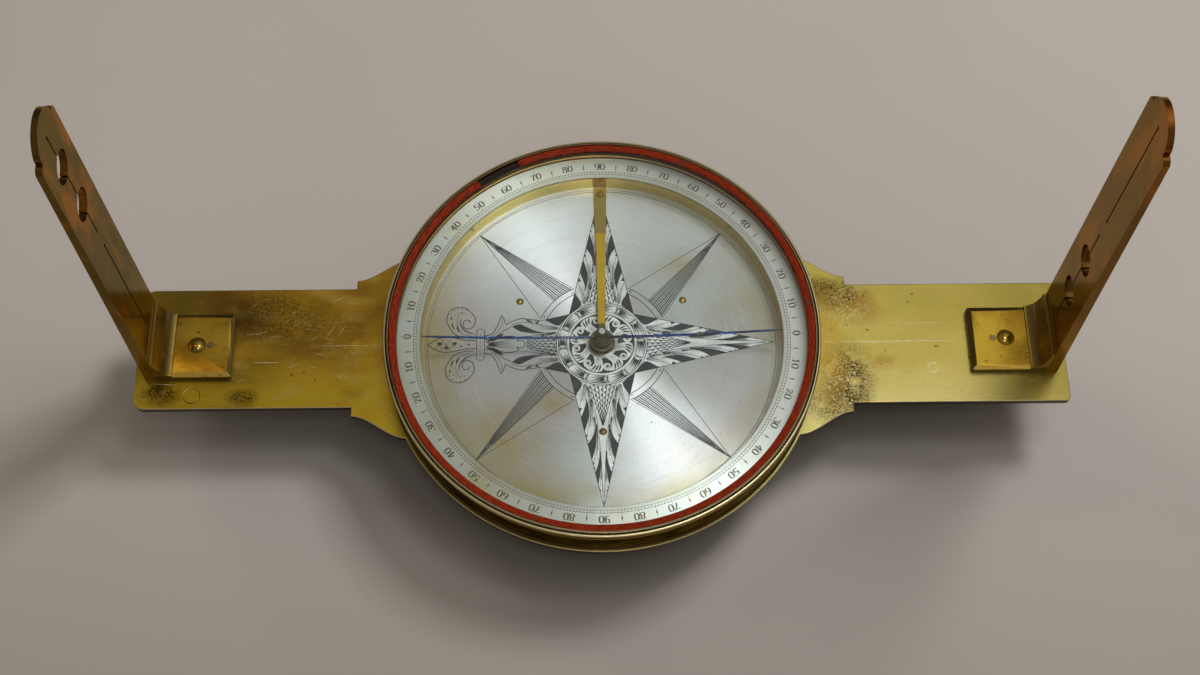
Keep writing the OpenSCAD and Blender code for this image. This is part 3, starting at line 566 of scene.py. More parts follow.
def arm_half():
    """The black and the fine lines on the upper half of one star arm, which lies along +x."""
    horns = [
        horn([(21.9, 6.5), (24.4, 6.3), (26.9, 6.9), (29, 7.6)], 30.7, 36.4,
             [(24.8, 5.6), (27.8, 5.15), (30.7, 5.3), (32.8, 5.8), (34.8, 6.4)]),
        horn([(34.8, 3.3), (36.8, 3.35), (38.8, 4.1), (40.2, 4.9)], 41.3, 48,
             [(37.2, 2.7), (40, 2.55), (42.6, 2.85), (45, 3.4)]),
        horn([(46.3, 1.8), (48.3, 1.75), (50.3, 2.2), (51.8, 2.7)], 52.8, 57.8,
             [(48.5, 1.35), (51, 1.15), (53.5, 1.3), (55.8, 1.65)]),
    ]
    notches = [notch(s, size) for s, size in ((27.4, 1.5), (38.2, 1), (40.2, 0.8), (49.2, 0.8),
                                              (51.2, 0.7), (60, 0.7), (62.6, 0.5))]
    shading = [leaf_lines(*leaf) for leaf in (
        ((16.8, 6.6), (27, 8.2), (22.5, 7), 4, 0.62), ((18, 5.6), (30.5, 4.7), (25, 4.6), 3, 0.5),
        ((23, 4.3), (38.5, 6), (33, 4.2), 4, 0.5), ((30.5, 3.4), (37.5, 3.2), (34, 2.9), 3, 0.35),
        ((33.5, 2.5), (50.2, 3.3), (44, 2.3), 4, 0.38), ((44.5, 1.2), (60, 1.2), (54, 1), 3, 0.28))]
    veins = [stroke(through(points), 0.075) for points in (
        [(18.5, 6), (22.5, 7.6), (26, 8.9)], [(24.2, 5), (31.5, 4.6), (37, 5.9), (39.4, 6.1)],
        [(36.5, 2.2), (43, 2.2), (48.6, 3.6)], [(47.5, 0.9), (54, 0.9), (59.4, 1.5)])]
    t = np.linspace(0, 1, 20)
    stem = curve([(17.4, 5.6), (24, 3.6), (31, 1.6), (40, 0.9), (STAR_TIP - 1, 0.12)], t)
    second = curve([(17.4, 6.2), (24, 4.3), (31, 2.3), (40, 1.2), (STAR_TIP - 4, 0.4)], t)
    lines = [stroke(stem, 0.09), stroke(second, 0.06), stroke(along_edge([STAR_VALLEY, STAR_TIP]), FINE)]
    return horns + notches + [arm_root()] + shading + veins + lines


def north_arm_half():
    """The leaves at the root of the north arm, before they part into the flower."""
    shading = [leaf_lines((16.8, 6.6), (27, 8.2), (22.5, 7), 4, 0.62),
               leaf_lines((18, 4.6), (30.5, 3.9), (25, 4), 3, 0.5)]
    edge = stroke(along_edge([STAR_VALLEY, 25]), FINE)
    border = stroke(through([(17.4, 4.9), (22, 4.2), (27, 3.4), (30.4, 3.2)]), 0.09)
    return [arm_root(), notch(25, 1.3), edge, border] + shading


def arm_net():
    """The net of crossed lines that fills the column at the root of an arm."""
    from_s, to_s, closes_at, room_at_root = 17.3, 34, 34.6, 5.4
    s = np.linspace(from_s, to_s, 60)
    room = room_at_root * (closes_at - s) / (closes_at - from_s)
    weave = []
    for i in range(7):
        level = (i - 3) / 3.4
        wave = 0.18 * np.cos((s - from_s) * 2.9 + pi * i)
        middle = np.stack([s, room * (level + wave * 0.32)], axis=-1)
        ripple = np.sin((s - from_s) * 1.45 + i * pi / 2) ** 2
        weave.append(stroke(middle, 0.1 + 0.22 * ripple * (room / room_at_root + 0.15)))
    return weave


def ray():
    """A ray between two arms, whose right-hand half is hatched: it points along +x here."""
    foot_at, hatch_lines = 25.9, 9
    tip, base, corner = np.array([67.3, 0]), np.array([foot_at, 0]), np.array([24.9, -8.9])
    t = np.linspace(0, 1, 12)
    outline = [stroke(curve([tip, end], t), FINE) for end in (corner, corner * (1, -1), base)]
    hatch = []
    for i, k in enumerate(np.linspace(0.09, 0.91, hatch_lines)):
        foot = base + (corner - base) * k
        foot = foot * foot_at / np.linalg.norm(foot)
        end = foot + (tip - foot) * (0.96 - 0.15 * abs(k - 0.5) - 0.12 * (i % 2))
        hatch.append(stroke(curve([foot, end], t), (0.25, 0.18)[i % 2] * (1 - 0.66 * t)))
    return outline + hatch


def roundel():
    """The middle of the rose: a wreath of twelve buds, and eight leaves that break like waves."""
    black = [ring_line(9.35, 3.4), ring_line(15.2, 1.75)]
    rings = [ring_line(17.45, 0.14), ring_line(12.5, 0.05)]
    edges = [ring_line(17.1, 0.24), ring_line(12.9, 0.3), ring_line(5.95, 0.13)]
    t = np.linspace(0, 1, 24)
    half_turn = polar(1, 180 * (1 - t))
    buds = [stroke(polar(15.1 + 0 * t, 2.5 + 26.5 * t), 1.55 - 0.5 * t ** 2)]
    for radius, degrees, size in ((14, 2.9, 0.6), (15.1, 0.8, 0.9), (16.2, 2.9, 0.6)):
        over = size * half_turn
        buds.append(polar(radius, degrees) + between(over, over * (1, -1)))
    streaks = [stroke(polar(14.05 + 0.7 * k - 0.24 * (k - 1.5) * (1 - t), 28.5 - (15 + 4 * (k % 2)) * t),
                      0.3 * (1 - t) ** 0.6 + 0.01) for k in range(4)]
    back = through([polar(r, d) for r, d in ((6.1, 31), (8.2, 35), (10.2, 35.5), (11.6, 32), (12.2, 25),
                                             (12.25, 15), (12.1, 7), (11.75, 0))], 34)
    front = through([polar(r, d) for r, d in ((6.1, 1), (7, 7), (7.9, 11.5), (8.8, 13.5), (9.8, 12),
                                              (10.5, 8.5), (10.8, 4), (10.85, 0))], 34)
    coil = np.linspace(0, -1.45, 40)
    curl = polar(9.9, 0) + polar(np.interp(coil, (-1.45, -1, 0), (0.35, 0.7, 1.42)), 360 * coil)
    curl_half = np.interp(coil, (-1.45, -1, -0.8, 0), (0.1, 0.13, 0.3, 0.46))
    leaves = [between(back, front), stroke(curl, curl_half)]
    slits = [stroke(curve([polar(*end) for end in ends], t), 0.3 * np.sin(pi * t ** 0.7) + 0.02)
             for ends in (((9.4, 18.5), (10.9, 17), (12.35, 11)), ((9.1, 24), (10.8, 23.5), (12.35, 18)),
                          ((9, 29), (10.6, 29.5), (12.2, 25)))]
    shade = [stroke(curve([polar(6.5, d), polar(9, d + 4)], t), 0.07 * (1 - t) + 0.01) for d in (14, 18, 22)]
    twelve, eight = 30 * np.arange(12) + 4, 45 * np.arange(8) + 12
    pale = [turned(part, twelve) for part in buds] + [turned(part, eight) for part in leaves]
    veins = [turned(part, twelve) for part in streaks] + [turned(part, eight) for part in slits + shade]
    return black, rings + veins, pale + edges


def north_flower():
    """The flower that marks north, on the arm along -x: its black parts and its lines."""
    t = np.linspace(0, 1, 30)
    petal = through([(-67, 0), (-64, 2), (-61, 3.1), (-57, 2.9), (-52.5, 1.9), (-48.1, 1.6)])
    middle = [stroke(petal, 0.17), stroke(petal * (1, -1), 0.17)]
    for x, y, size in ((-62.3, 0.4, 1.15), (-59.6, -1.3, 1.1), (-56.5, 0.5, 1.05), (-54, -0.75, 0.6),
                       (-51.2, 0.1, 0.6)):
        over = size * np.array([[-1, 0], [0, 0.75], [1, 0]])
        middle.append(between(over, over * (1, -1)) + (x, y))
    slants = [((x, -2.2 * way), (x + 3.6, 2.2 * way)) for x in (-64.4, -61.6, -58.8) for way in (1, -1)]
    middle += [stroke(curve(ends, t[::6]), 0.09) for ends in slants]
    middle += [stroke(np.array([[x, 5.4], [x, -5.4]]), FINE) for x in (-48.1, -45.1)]
    over = np.array([[-0.3, 0], [0, 0.3], [0.3, 0]])
    bead = between(over, over * (1, -1))
    middle += [bead + (-46.6, y) for y in (-4, -2.4, -0.8, 0.8, 2.4, 4)]
    lobe_out = through([
        (-49.4, 2.6), (-53.2, 3), (-56.5, 4.4), (-58.75, 7.5), (-59.8, 10.8), (-58.75, 14.2), (-56.25, 15.8),
        (-53.3, 15.8), (-50.4, 13.75), (-48.8, 10.8), (-49.4, 7.9), (-51, 6.7), (-52.8, 7.1), (-53.5, 8.8),
        (-52.6, 10.4), (-51.2, 10.3), (-50.7, 9.2)], 90)
    lobe_in = through([
        (-50.2, 3.6), (-53.2, 4.4), (-55, 6.6), (-55.9, 9.6), (-55.2, 12.4), (-53.4, 13.6)], 30)
    neck = through([(-48.1, 4), (-50.6, 4.9), (-52.2, 5.7), (-53.9, 7.4), (-54.6, 9.6), (-54.2, 11.2)])
    neck_half = 0.24 * np.sin(pi * np.linspace(0, 1, 24)) + 0.05
    upper = [stroke(lobe_out, 0.18), stroke(lobe_in, 0.08), stroke(neck, neck_half)]
    for x, y, long, lean in ((-57.4, 8, 1.7, 0.9), (-55.5, 6.8, 1.8, 1.1), (-57.9, 11.3, 0.8, 0.1)):
        groove = curve([(x + lean, y - long), (x - 0.5, y - 0.2), (x - 0.1, y + long)], t)
        upper.append(stroke(groove, 0.3 * np.sin(pi * t) + 0.01))
    for radius, turns in ((4.5, (150, 128, 106, 84, 60)), (2.9, (140, 112, 84, 52))):
        for degrees in turns:
            upper.append(bead + polar(radius, degrees) + (-54.4, 10.9))
    upper += [stroke(through(points), half) for half, points in (
        (0.17, [(-45, 3.6), (-42.2, 4.6), (-40.4, 7.4), (-39.4, 10), (-38.6, 12.4)]),
        (0.17, [(-38.6, 12.4), (-37.6, 10.6), (-37.2, 9.2), (-36.8, 8.4)]),
        (0.17, [(-36.8, 8.4), (-34.4, 9.8), (-31, 10.9), (-27.4, 10.4), (-24, 10)]),
        (0.17, [(-45, 2), (-41, 2.9), (-38, 5.6), (-34.8, 7.3)]),
        (0.1, [(-42.4, 3.2), (-40, 5.4), (-38.4, 8.4), (-38.2, 11)]),
        (0.1, [(-35, 8.2), (-31, 9.4), (-27, 8.8), (-22.5, 8)]),
        (0.16, [(-44.4, 0.7), (-41, 2.4), (-37, 3.4), (-33.4, 3.2), (-32, 2.2), (-32.8, 1.3)]),
        (0.16, [(-32.8, 1.3), (-30.8, 1.6), (-29.8, 0.9), (-29.6, 0)]))]
    for root, over, under, tip in (
        ((-21.9, 4.9), [(-25.5, 5.6), (-29, 7.3), (-31.6, 8.5)], [(-25.5, 4.7), (-28.8, 4.9), (-31.8, 5.6)],
         (-34.6, 7.6)),
        ((-45, 1.2), [(-42.6, 2.3), (-40.2, 3.9)], [(-42, 1.4), (-39.6, 2.4)], (-37.4, 4.6)),
        ((-29.5, 10.6), [(-27.6, 10)], [(-28.4, 9.5)], (-26.2, 9)),
    ):
        upper.append(between(through([root, *over, tip]), through([root, *under, tip])))
    knob = (-46.6, 5.2) + polar(1, np.linspace(-20, 200, 20)) * (1.6, 1.5)
    upper.append(stroke(knob, FINE))
    upper += [stroke(curve([(-43.6, y * 0.3), (-38, y * 0.7), (-33.6, y)], t), 0.16 * (1 - t) + 0.03)
              for y in (0.35, 1.1, 1.9)]
    return middle + [side for ribbon in upper for side in (ribbon, mirrored(ribbon))]


def rose_lines():
    """All that the graver cut round the roundel: three plain arms, the north arm, rays and circles."""
    half = arm_half()
    plain = [turned(ribbon, (0, 90, 270)) for ribbon in half + [mirrored(r) for r in half] + arm_net()]
    half = north_arm_half()
    root = half + [mirrored(r) for r in half] + [ribbon[:42] for ribbon in arm_net()]
    rays = [turned(ribbon, (45, 135, 225, 315)) for ribbon in ray()]
    arcs = [ring_line(23.6, 0.16, (24, 66), 60), ring_line(25.9, 0.16, (24, 66), 60),
            ring_line(24.9, 0.16, (61, 64), 8), ring_line(24.4, 0.12, (25.6, 28.8), 8)]
    arcs = [turned(ribbon, (0, 90, 180, 270)) for ribbon in arcs]
    rims = [ring_line(66.9, 0.1), ring_line(67.8, 0.07)]
    return plain + [turned(ribbon, 180) for ribbon in root] + north_flower() + rays + arcs + rims


def kites():
    """The pale ground of the three plain arms, each half in strips side by side."""
    strips = 10
    along = np.linspace(STAR_VALLEY - 6, STAR_TIP, 150)[:, None] * (1, 1)
    side = np.minimum(edge_w(along), along)
    halves = [np.stack([along, side * ((k + 1) / strips, k / strips)], axis=-1) for k in range(strips)]
    return [turned(part, (0, 90, 270)) for half in halves for part in (half, mirrored(half))]


black, veins, leaves = roundel()
for step, (name, ribbons, material) in enumerate((
    ("rose_ground", kites(), leaf_silver),
    ("rose_lines", rose_lines(), wax),
    ("roundel_ground", black, wax),
    ("roundel_leaves", leaves, leaf_silver),
    ("roundel_lines", veins, wax),
)):
    lay(name, ribbons, DIAL_TOP + (0.01 + 0.012 * step) * MM, material)
dress("dial_rivets", screw_finish, 0.05)

# The graduated ring is a raised brass ring, silvered on top and left polished on its inner wall.
# Every degree is cut between two circles, each fifth degree ends in a dagger, and the tens are
# numbered from the north and south points to 90 at the sides, in thick and thin strokes.
RING_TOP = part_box("graduated_ring")[1].z


def ring_silver():
    """The ring's silver, yellowed at the near left, and the tarnished brass of its inner wall."""
    material, tone, rough = silvered("silvered_ring", 0.36, 0.0765, 0.078, 90)
    tree = material.node_tree
    x, y, z = parts_of(tree)
    wall = spread(tree, z, RING_TOP - 0.2 * MM, RING_TOP - 0.05 * MM, 1, 0)
    wall_tone = coats(tree, (0.7, 0.52, 0.13),
                      (spread(tree, z, RING_TOP - 1.1 * MM, RING_TOP - 0.8 * MM), (0.32, 0.22, 0.06)))
    yellow = times(tree, mottle(tree, 20, 96, 5, 0.4, 0.6, 0, 0.55), spread(tree, y, -0.02, -0.06, 0.45, 1))
    yellow = times(tree, yellow, spread(tree, x, 0.02, -0.02, 0.35, 1))
    tone = coats(tree, tone, (0.75, (0.8, 0.84, 0.74)), (yellow, (0.66, 0.55, 0.22)),
                 (spread(tree, x, 0.03, 0.07, 0, 0.8), (1, 1, 0.94)), (wall, wall_tone))
    dull = times(tree, calc(tree, "SUBTRACT", 1, wall), rough)
    return finished(material, tone, calc(tree, "MAXIMUM", dull, 0.2))


dress("graduated_ring", ring_silver(), 0.06)


def spoke(inner, outer, half, steps=2):
    """A straight mark that points away from the middle along +x."""
    return stroke(np.stack([np.linspace(inner, outer, steps), np.zeros(steps)], axis=-1), half)


def graduations():
    """The circles, the degree ticks, the half-degree hatch, the daggers and the lines at the tens."""
    hatch_from, ticks_from, ticks_to = 69.15, 70.6, 71.6
    ones = turned(spoke(ticks_from, ticks_to, 0.085), np.arange(360))
    halves = turned(spoke(hatch_from, ticks_from - 0.05, 0.05), np.arange(0, 360, 0.5))
    s = np.linspace(0, 1, 12)
    dagger = 0.06 + 0.62 * np.exp(-((s - 0.62) / 0.15) ** 2) * (1 - s)
    fives = turned(spoke(ticks_to, 75.3, dagger, 12), np.arange(5, 360, 10))
    tens = turned(spoke(ticks_to, 76.4, 0.055), np.arange(0, 360, 10))
    circles = [ring_line(ticks_from, 0.075), ring_line(ticks_to, 0.085), ring_line(hatch_from + 0.05, 0.05)]
    return [ones, halves, fives, tens] + circles


def oval(x, y, wide, high):
    """A closed oval path round a centre."""
    return (x, y) + polar(1, np.linspace(0, 360, 28)) * (wide, high)


def figure_paths():
    """The paths of each figure in a box one unit high about the origin, with strokes in hundredths."""
    t = np.linspace(0, 1, 18)
    strokes = {
        "1": [[(0, -46), (0, 48)], [(-16, -47), (16, -47)], [(-17, 30), (-2, 46)]],
        "2": [[(-24, 20), (-26, 62), (30, 62), (30, 10), (-10, -5), (-26, -44)],
              [(-26, -44), (-8, -28), (12, -58), (27, -30)]],
        "3": [[(-24, 30), (-20, 60), (34, 56), (22, 6), (-6, 5)],
              [(-6, 5), (44, 8), (34, -66), (-22, -54), (-26, -26)]],
        "4": [[(10, 48), (-28, -16)], [(-28, -16), (28, -16)], [(10, 48), (10, -47)],
              [(-4, -47), (24, -47)]],
        "5": [[(-20, 44), (22, 50)], [(-20, 46), (-22, 4)],
              [(-22, 4), (0, 24), (40, 6), (32, -64), (-22, -54), (-26, -26)]],
        "6": [[(20, 42), (-2, 60), (-32, 30), (-23, -20)]],
        "7": [[(-24, 30), (-24, 50), (10, 38), (27, 47)], [(27, 47), (-2, 10), (-6, -20), (-6, -47)]],
    }
    paths = {key: [curve(np.array(points) / 100, t) for points in lines] for key, lines in strokes.items()}
    paths["0"] = [oval(0, 0, 0.25, 0.48)]
    paths["6"].insert(0, oval(0, -0.2, 0.23, 0.28))
    paths["8"] = [oval(0, 0.25, 0.19, 0.22), oval(0, -0.23, 0.24, 0.25)]
    paths["9"] = [-path for path in paths["6"]]
    return paths


def numbers():
    """The tens, tops outward: each figure's strokes are thick where they run up and thin across."""
    paths = figure_paths()
    high, apart, at = 2.8, 1.1, 74
    wider, thin, thicker = 1.12, 0.03, 0.075
    ribbons = []
    for degrees in range(0, 360, 10):
        text = str(min(degrees % 180, 180 - degrees % 180))
        for place, figure in enumerate(text):
            for path in paths[figure]:
                step = np.gradient(path, axis=0)
                upright = np.abs(step[:, 1]) / (np.linalg.norm(step, axis=1) + 1e-9)
                ink = stroke(path * (wider, 1), thin + thicker * upright ** 1.5) * high
                aside = (place - (len(text) - 1) / 2) * 2 * apart
                on_ring = np.stack([at + ink[..., 1], -(ink[..., 0] + aside)], axis=-1)
                ribbons.append(turned(on_ring, degrees))
    return ribbons


# The wax in the ring's finer cuts is browner and thinner.
ring_wax = two_tone("ring_wax", 0.5, 0, (1.2, 82, 3, 0.5, 0.7, 0, 0.7),
                    (0.06, 0.05, 0.025), (0.2, 0.17, 0.09))
lay("graduations", graduations() + numbers(), RING_TOP + 0.02 * MM, ring_wax)

# The pivot stands in the middle of the dial: a turned brass stud riveted through the plate, with
# a hardened steel needle point that carries the cap.
stud_finish, _ = turned_brass("stud_bronze", (0.42, 0.34, 0.16), (0.15, 0.11, 0.05), 0.5, 0.22, 100)
dress("pivot_base", stud_finish, 0.08)
steel = two_tone("polished_steel", 0.15, 1, (0.6, 103, 4, 0.4, 0.6), (0.62, 0.62, 0.64), (0.44, 0.44, 0.47))
dress("pivot_point", steel, 0)

# The needle is a bar of steel on edge, bowed up towards its ends and pointed, let through the cap.
# It is blued by heat, so its colour runs from violet to bright blue with greyer worn lengths. A few
# turns of dark wire on the south half balance its dip.


def blued_steel():
    """Heat-blued steel: bands of violet and blue along the bar, worn grey near the cap."""
    material, tree = surface_of("blued_steel", 0.22)
    worn = near(tree, (-0.012, 0, 0.039), (0.02, 0.01, 0.02), 0.3)
    return finished(material, coats(
        tree, (0.022, 0.022, 0.12),
        (mottle(tree, (9, 36, 36), 110, 3, 0.38, 0.62), (0.02, 0.13, 0.55)),
        (mottle(tree, (4, 16, 16), 112, 2, 0.6, 0.7), (0.1, 0.6, 0.85)),
        (times(tree, worn, 0.7), (0.24, 0.26, 0.3)),
    ))


def dark_wire():
    """Oxidised brass wire, wound close: a paler ridge runs round it every two millimetres."""
    material, tree = surface_of("dark_wire", 0.4)
    ridge = node(tree, "TexWave", {"Scale": 1, "Vector": placed(tree, size=(6.6 * MM, 1, 1))})["Fac"]
    tone = coats(tree, (0.05, 0.045, 0.05), (ridge, (0.2, 0.17, 0.13)))
    return finished(material, tone, height=ridge, depth=0.1 * MM)


dress("needle_bar", blued_steel(), 0.09)
dress("needle_dip_weight", dark_wire(), 0.12)

# The cap is a small bell of bronze gone dark, with a knob on top that holds a cup of pale banded
# agate, and a collar below that keeps the bar in its slot.
cap_finish, _ = turned_brass("cap_bronze", (0.3, 0.275, 0.15), (0.16, 0.14, 0.075), 0.5, 0.24, 120)
dress("needle_cap", cap_finish, 0.1)
dress("cap_collar", cap_finish, 0.08)
agate = two_tone("agate", 0.08, 0, ((0.7, 2.1, 0.7), 125, 4, 0.4, 0.62),
                 (0.42, 0.44, 0.45), (0.2, 0.21, 0.22), {"Coat Weight": 0.5})
dress("cap_jewel", agate, 0.04)

# The lifter is a springy brass strip, screwed down at the far edge of the dial by a slotted screw,
# with a ring round the pivot under the cap. A thumb screw below the plate pushes it up.


def lever_brass():
    """Bright strip brass, golden along its rise, with its flat outer end dulled by a painted shadow of the
    rim.
    """
    material, tree = surface_of("lever_brass", 0.24)
    tone = coats(
        tree, (0.9, 0.6, 0.025),
        (mottle(tree, (4, 12, 4), 130, 4, 0.4, 0.7), (0.8, 0.52, 0.02)),
        # Painted shadow: the outer end, beyond 47.4 mm, lies in a painted shadow of the rim.
        (spread(tree, parts_of(tree)[1], 0.0474, 0.0478), (0.46, 0.34, 0.075)),
        (spread(tree, radius_of(tree), 6.6 * MM, 7.6 * MM, 1, 0), (0.22, 0.18, 0.085)),
    )
    return finished(material, tone, mottle(tree, (0.4, 24, 0.4), 133, 2, 0.3, 0.7, 0.28, 0.36))


dress("lifter_lever", lever_brass(), 0.12)
dress("lifter_lever_screw", screw_finish, 0.06)
dress("lifter_screw_shank", screw_finish, 0.06)
dress("lifter_screw_head", screw_finish, 0.2)

# The glass is a flat disc in the rebate. A split ring of brass strip, lacquered brick red with a
# brush, springs in over its edge, and its ends stand apart at the upper left.


def clear_glass():
    """Clear glass that lets lamps shine straight through it."""
    material, tree = surface_of("clear_glass", 0.02, 0, {"Transmission Weight": 1, "IOR": 1.45})
    shadow = node(tree, "LightPath")["Is Shadow Ray"]
    glass = tree.nodes["Principled BSDF"].outputs["BSDF"]
    either = node(tree, "MixShader", {0: shadow, 1: glass, 2: node(tree, "BsdfTransparent")["BSDF"]})
    feed(tree, tree.nodes["Material Output"].inputs["Surface"], either["Shader"])
    return finished(material, (0.97, 0.99, 0.985))


def red_lacquer():
    """Brick-red lacquer: slanting brush strokes, darker in the hollows, chipped along its edges."""
    material, tree = surface_of("red_lacquer", 0.5, 0, {"Specular IOR Level": 0.12})
    slant = {"Vector": node(tree, "UVMap")["UV"], "Rotation": (0, 0, radians(38)), "Scale": (0.35, 2.2, 1)}
    brush = noise_at(tree, node(tree, "Mapping", slant)["Vector"], 4)
    tone = coats(tree, (0.085, 0.007, 0.002), (spread(tree, brush, 0.35, 0.65), (0.26, 0.024, 0.003)),
                 (mottle(tree, 3, 140, 5, 0.64, 0.7), (0.07, 0.03, 0.015)))
    return finished(material, tone, height=brush, depth=0.12 * MM)


def red_ring():
    """A strip, high outside and low inside, swept from one end of the split to the other."""
    low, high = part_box("glass_retaining_ring")
    split_from, split = 114.1, 12.5
    outer, wide, middle_z = high.x / MM, 2.75, 0.4
    section = np.array([(0, 0), (0, 0.7), (-0.12, 0.84), (-0.35, 0.88), (-0.9, 0.79), (-1.7, 0.55),
                        (-2.4, 0.3), (-2.68, 0.14), (-wide, 0)])
    across, up = section[:, 0] + wide / 2, section[:, 1] - middle_z
    a = np.linspace(split_from + split, split_from + 360, 361)
    shrink = np.ones(len(a))
    shrink[[0, -1]] = 1e-3
    a[1], a[-2] = a[0] + 0.08, a[-1] - 0.08
    sway = 0.035 * np.sin(np.radians(a * 11)) + 0.03 * np.sin(np.radians(a * 29 + 40))
    radius = outer - wide / 2 - 0.06 + across * (shrink * (1 + sway * 0.6))[:, None] + sway[:, None] * 0.4
    z = low.z / MM + middle_z + up * shrink[:, None]
    rad = np.radians(a)[:, None]
    points = np.stack([radius * np.cos(rad), radius * np.sin(rad), z], axis=-1) * MM
    m, n = points.shape[:2]
    i, j = np.meshgrid(np.arange(m - 1), np.arange(n), indexing="ij")
    this, after = i * n + j, i * n + (j + 1) % n
    faces = np.stack([this, this + n, after + n, after], axis=-1).reshape(-1, 4)
    mesh = bpy.data.meshes.new("red_ring")
    mesh.from_pydata(points.reshape(-1, 3).tolist(), [], faces.tolist())
    run = np.stack(np.broadcast_arrays(rad * outer, across), axis=-1).reshape(-1, 2)
    corners = np.empty(len(mesh.loops), dtype=int)
    mesh.loops.foreach_get("vertex_index", corners)
    mesh.uv_layers.new(name="UVMap").data.foreach_set("uv", run[corners].ravel())
    mesh.materials.append(red_lacquer())
    mesh.shade_smooth()
    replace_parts(stand("red_ring", mesh, "plate_assembly"), "glass_retaining_ring")


dress("cover_glass", clear_glass(), 0)
red_ring()

# The sights are cast brass plates, filed to a taper and polished, gone brown with handling. Each
# has two fine slits that end in small drilled eyes, and two round holes on the line of one slit.


def vane_brass():
    """Polished brass under a brown skin, with paler patches, ruddy patches that are painted orange glints of
    reflected light, and fine upright scratches.
    """
    material, tree = surface_of("vane_brass", 0.2, 1, {"Specular Tint": (0.86, 0.78, 0.58, 1)})
    x, _, z = parts_of(tree)
    tone = coats(
        tree, (0.18, 0.105, 0.024),
        (mottle(tree, (22, 22, 39.6), 150, 5, 0.38, 0.66), (0.1, 0.056, 0.013)),
        (mottle(tree, (6, 6, 12), 151, 5, 0.6, 0.74, 0, 0.6), (0.3, 0.19, 0.045)),
        # Painted reflection: the ruddy patches stand for orange glints of reflected light.
        (mottle(tree, (13, 13, 31.2), 155, 5, 0.56, 0.68, 0, 0.9), (0.5, 0.16, 0.02)),
        (spread(tree, x, -0.05, 0.05, 0, 0.5), (0.23, 0.09, 0.026)),
        (spread(tree, z, 0.085, 0.045, 0, 0.55), (0.42, 0.28, 0.05)),
        (mottle(tree, 1.4, 152, 2, 0.72, 0.76), (0.07, 0.05, 0.03)),
    )
    scratches = grain(tree, (0.4, 0.4, 12), 153, 3)
    height = calc(tree, "ADD", times(tree, scratches, 0.3), grain(tree, (10, 10, 20), 154))
    return finished(material, tone, spread(tree, scratches, 0.3, 0.7, 0.13, 0.27), height, 0.03 * MM)


vane_finish = vane_brass()
dress("north_sight_vane", vane_finish, 0.06)
dress("south_sight_vane", vane_finish, 0.06)

# Each sight stands on a cast foot with a coved back and a bevelled pad. A thumb screw from below
# holds it, whose domed end shows in the pad beside a small steady pin.
PAD_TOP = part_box("south_steady_pin")[1].z


def foot_brass():
    """Golden on the pad with reddish stains and a few dark pits; painted shade makes it brown on the sides,
    on faces that are not level and in the cove, and a painted highlight lies along the near bevel.
    """
    material, tree = surface_of("foot_brass", 0.22)
    z = parts_of(tree)[2]
    _, way_y, way_z = facing(tree)
    # Painted light: shade on the sides below the pad, on faces that are not level and in the cove, and a
    # highlight on bevels that face the near side.
    flank = spread(tree, z, PAD_TOP - 1.1 * MM, PAD_TOP - 0.7 * MM, 1, 0)
    slope = spread(tree, way_z, 0.94, 0.985, 1, 0)
    near_bevel_highlight = times(tree, spread(tree, way_y, -0.15, -0.3), spread(tree, way_z, 0.6, 0.8))
    tone = coats(
        tree, (0.74, 0.48, 0.055),
        (mottle(tree, 12, 160, 5, 0.42, 0.68), (0.54, 0.29, 0.028)),
        (mottle(tree, 7, 161, 5, 0.6, 0.72, 0, 0.75), (0.26, 0.11, 0.035)),
        (calc(tree, "MAXIMUM", flank, slope), (0.15, 0.1, 0.03)),
        (spread(tree, z, PAD_TOP + 0.2 * MM, PAD_TOP + 1.2 * MM), (0.42, 0.29, 0.09)),
        (near_bevel_highlight, (0.84, 0.56, 0.1)),
        (mottle(tree, 1.5, 162, 2, 0.7, 0.74), (0.06, 0.04, 0.02)),
    )
    rough = mottle(tree, (4.8, 0.4, 2.4), 163, 3, 0.3, 0.7, 0.26, 0.32)
    return finished(material, tone, rough, grain(tree, 6, 164), 0.02 * MM)


foot_finish = foot_brass()
for end in ("north", "south"):
    dress(end + "_vane_foot", foot_finish, 0.14)
    dress(end + "_steady_pin", stud_finish, 0.05)
    dress(end + "_foot_screw_shank", screw_finish, 0.04)
    dress(end + "_foot_screw_head", screw_finish, 0.2)

# Below the plate a flanged socket, turned from a casting and screwed on with four flat screws,
# slips over the spindle of a staff. A thumb screw through its wall grips the spindle.
socket_finish, _ = turned_brass("socket_brass", (0.56, 0.43, 0.17), (0.26, 0.17, 0.07), 0.44, 0.26, 170)
dress("staff_socket", socket_finish, 0.2)
dress("socket_screws", stud_finish, 0.1)
dress("clamp_screw_shank", screw_finish, 0.1)
dress("clamp_screw_head", screw_finish, 0.2)

# The studio: a plain pale floor, painted darker towards the front, a strong soft light behind on the right,
# weaker ones above, in front and behind on the left, and a soft sky that is dimmer on the left, low down and
# in front.
# The camera looks down on the compass as in the photograph.
scene = bpy.context.scene
FLOOR = 6
floor_mesh = bpy.data.meshes.new("floor")
corners = [(-FLOOR, -FLOOR, 0), (FLOOR, -FLOOR, 0), (FLOOR, FLOOR, 0), (-FLOOR, FLOOR, 0)]
floor_mesh.from_pydata(corners, [], [(0, 1, 2, 3)])
floor = bpy.data.objects.new("floor", floor_mesh)
scene.collection.objects.link(floor)
paper, tree = surface_of("pale_paper", 0.9, 0, {"Specular IOR Level": 0.2})
# Painted shade: the floor is painted darker towards the front.
toward = spread(tree, parts_of(tree)[1], 0.02, -0.16, 0, 0.6)
tone = coats(tree, (0.43, 0.385, 0.345), (mottle(tree, 250, 180, 4, 0.3, 0.7), (0.4, 0.36, 0.32)),
             (toward, (0.27, 0.243, 0.205)))
floor_mesh.materials.append(finished(paper, tone))


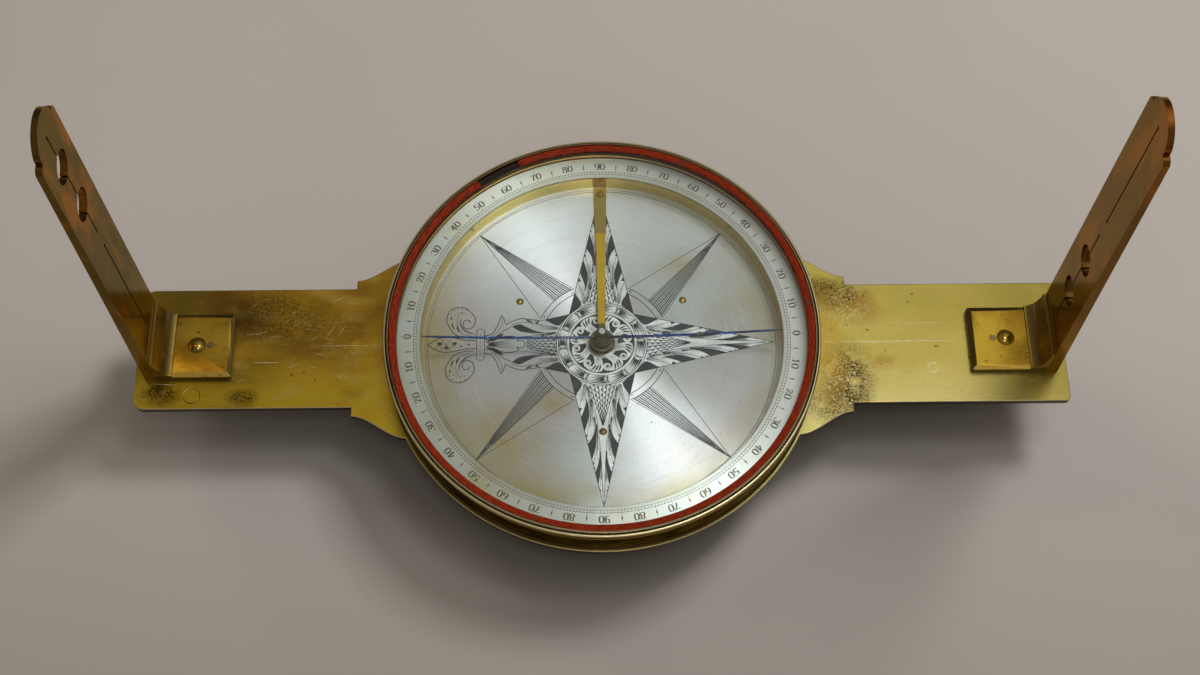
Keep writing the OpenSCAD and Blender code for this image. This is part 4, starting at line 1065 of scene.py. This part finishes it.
def soft_light(name, place, size, watts, colour, hidden=False):
    """A square soft light aimed at the compass. A hidden one shows in no reflection and no glass."""
    lamp = bpy.data.lights.new(name, "AREA")
    lamp.size = size
    lamp.energy = watts
    lamp.color = colour
    light = bpy.data.objects.new(name, lamp)
    light.location = place
    light.rotation_euler = (Vector((0, 0, 0.03)) - Vector(place)).to_track_quat("-Z", "Y").to_euler()
    light.visible_glossy = light.visible_transmission = not hidden
    scene.collection.objects.link(light)


soft_light("overhead", (0.24, 0.12, 1.2), 0.2, 1.2, (0.9, 0.97, 1))
soft_light("front", (0.06, -0.37, 1.15), 0.12, 0.5, (1, 0.96, 0.9))
soft_light("ceiling", (0.56, 0.46, 1.08), 0.35, 9.4, (0.97, 0.97, 1), hidden=True)
soft_light("middle", (0.32, -0.02, 1.25), 0.35, 1, (0.97, 0.97, 1), hidden=True)
soft_light("back", (-0.66, 0.72, 0.7), 0.35, 1.8, (1, 0.92, 0.82), hidden=True)
world = bpy.data.worlds.new("sky")
world.use_nodes = True
scene.world = world
tree = world.node_tree
right, before, high = parts_of(tree, node(tree, "TexCoord")["Generated"])
overhead = coats(tree, (0.23, 0.21, 0.18), (spread(tree, right, -0.18, 0.2), (0.58, 0.57, 0.54)))
tone = coats(tree, (0.11, 0.1, 0.09), (spread(tree, high, 0.45, 0.85), overhead),
             (spread(tree, before, -0.1, -0.4), (0.2, 0.19, 0.175)))
feed(tree, tree.nodes["Background"].inputs["Color"], tone)
tree.nodes["Background"].inputs["Strength"].default_value = 1

camera_data = bpy.data.cameras.new("camera")
camera_data.sensor_width = 36
camera_data.lens = 52.03
camera_data.clip_start = 0.01
stands_at = Vector((-0.0059, -0.2823, 0.6379))
looks_at = Vector((-0.00067, 0.00313, 0.033))
roll = radians(0.404)
ahead = (looks_at - stands_at).normalized()
level = ahead.cross(Vector((0, 0, 1))).normalized()
above = level.cross(ahead)
across = level * cos(roll) + above * sin(roll)
upward = above * cos(roll) - level * sin(roll)
camera = bpy.data.objects.new("camera", camera_data)
camera.matrix_world = Matrix.Translation(stands_at) @ Matrix((across, upward, -ahead)).transposed().to_4x4()
scene.collection.objects.link(camera)
scene.camera = camera
scene.view_settings.view_transform = "Standard"
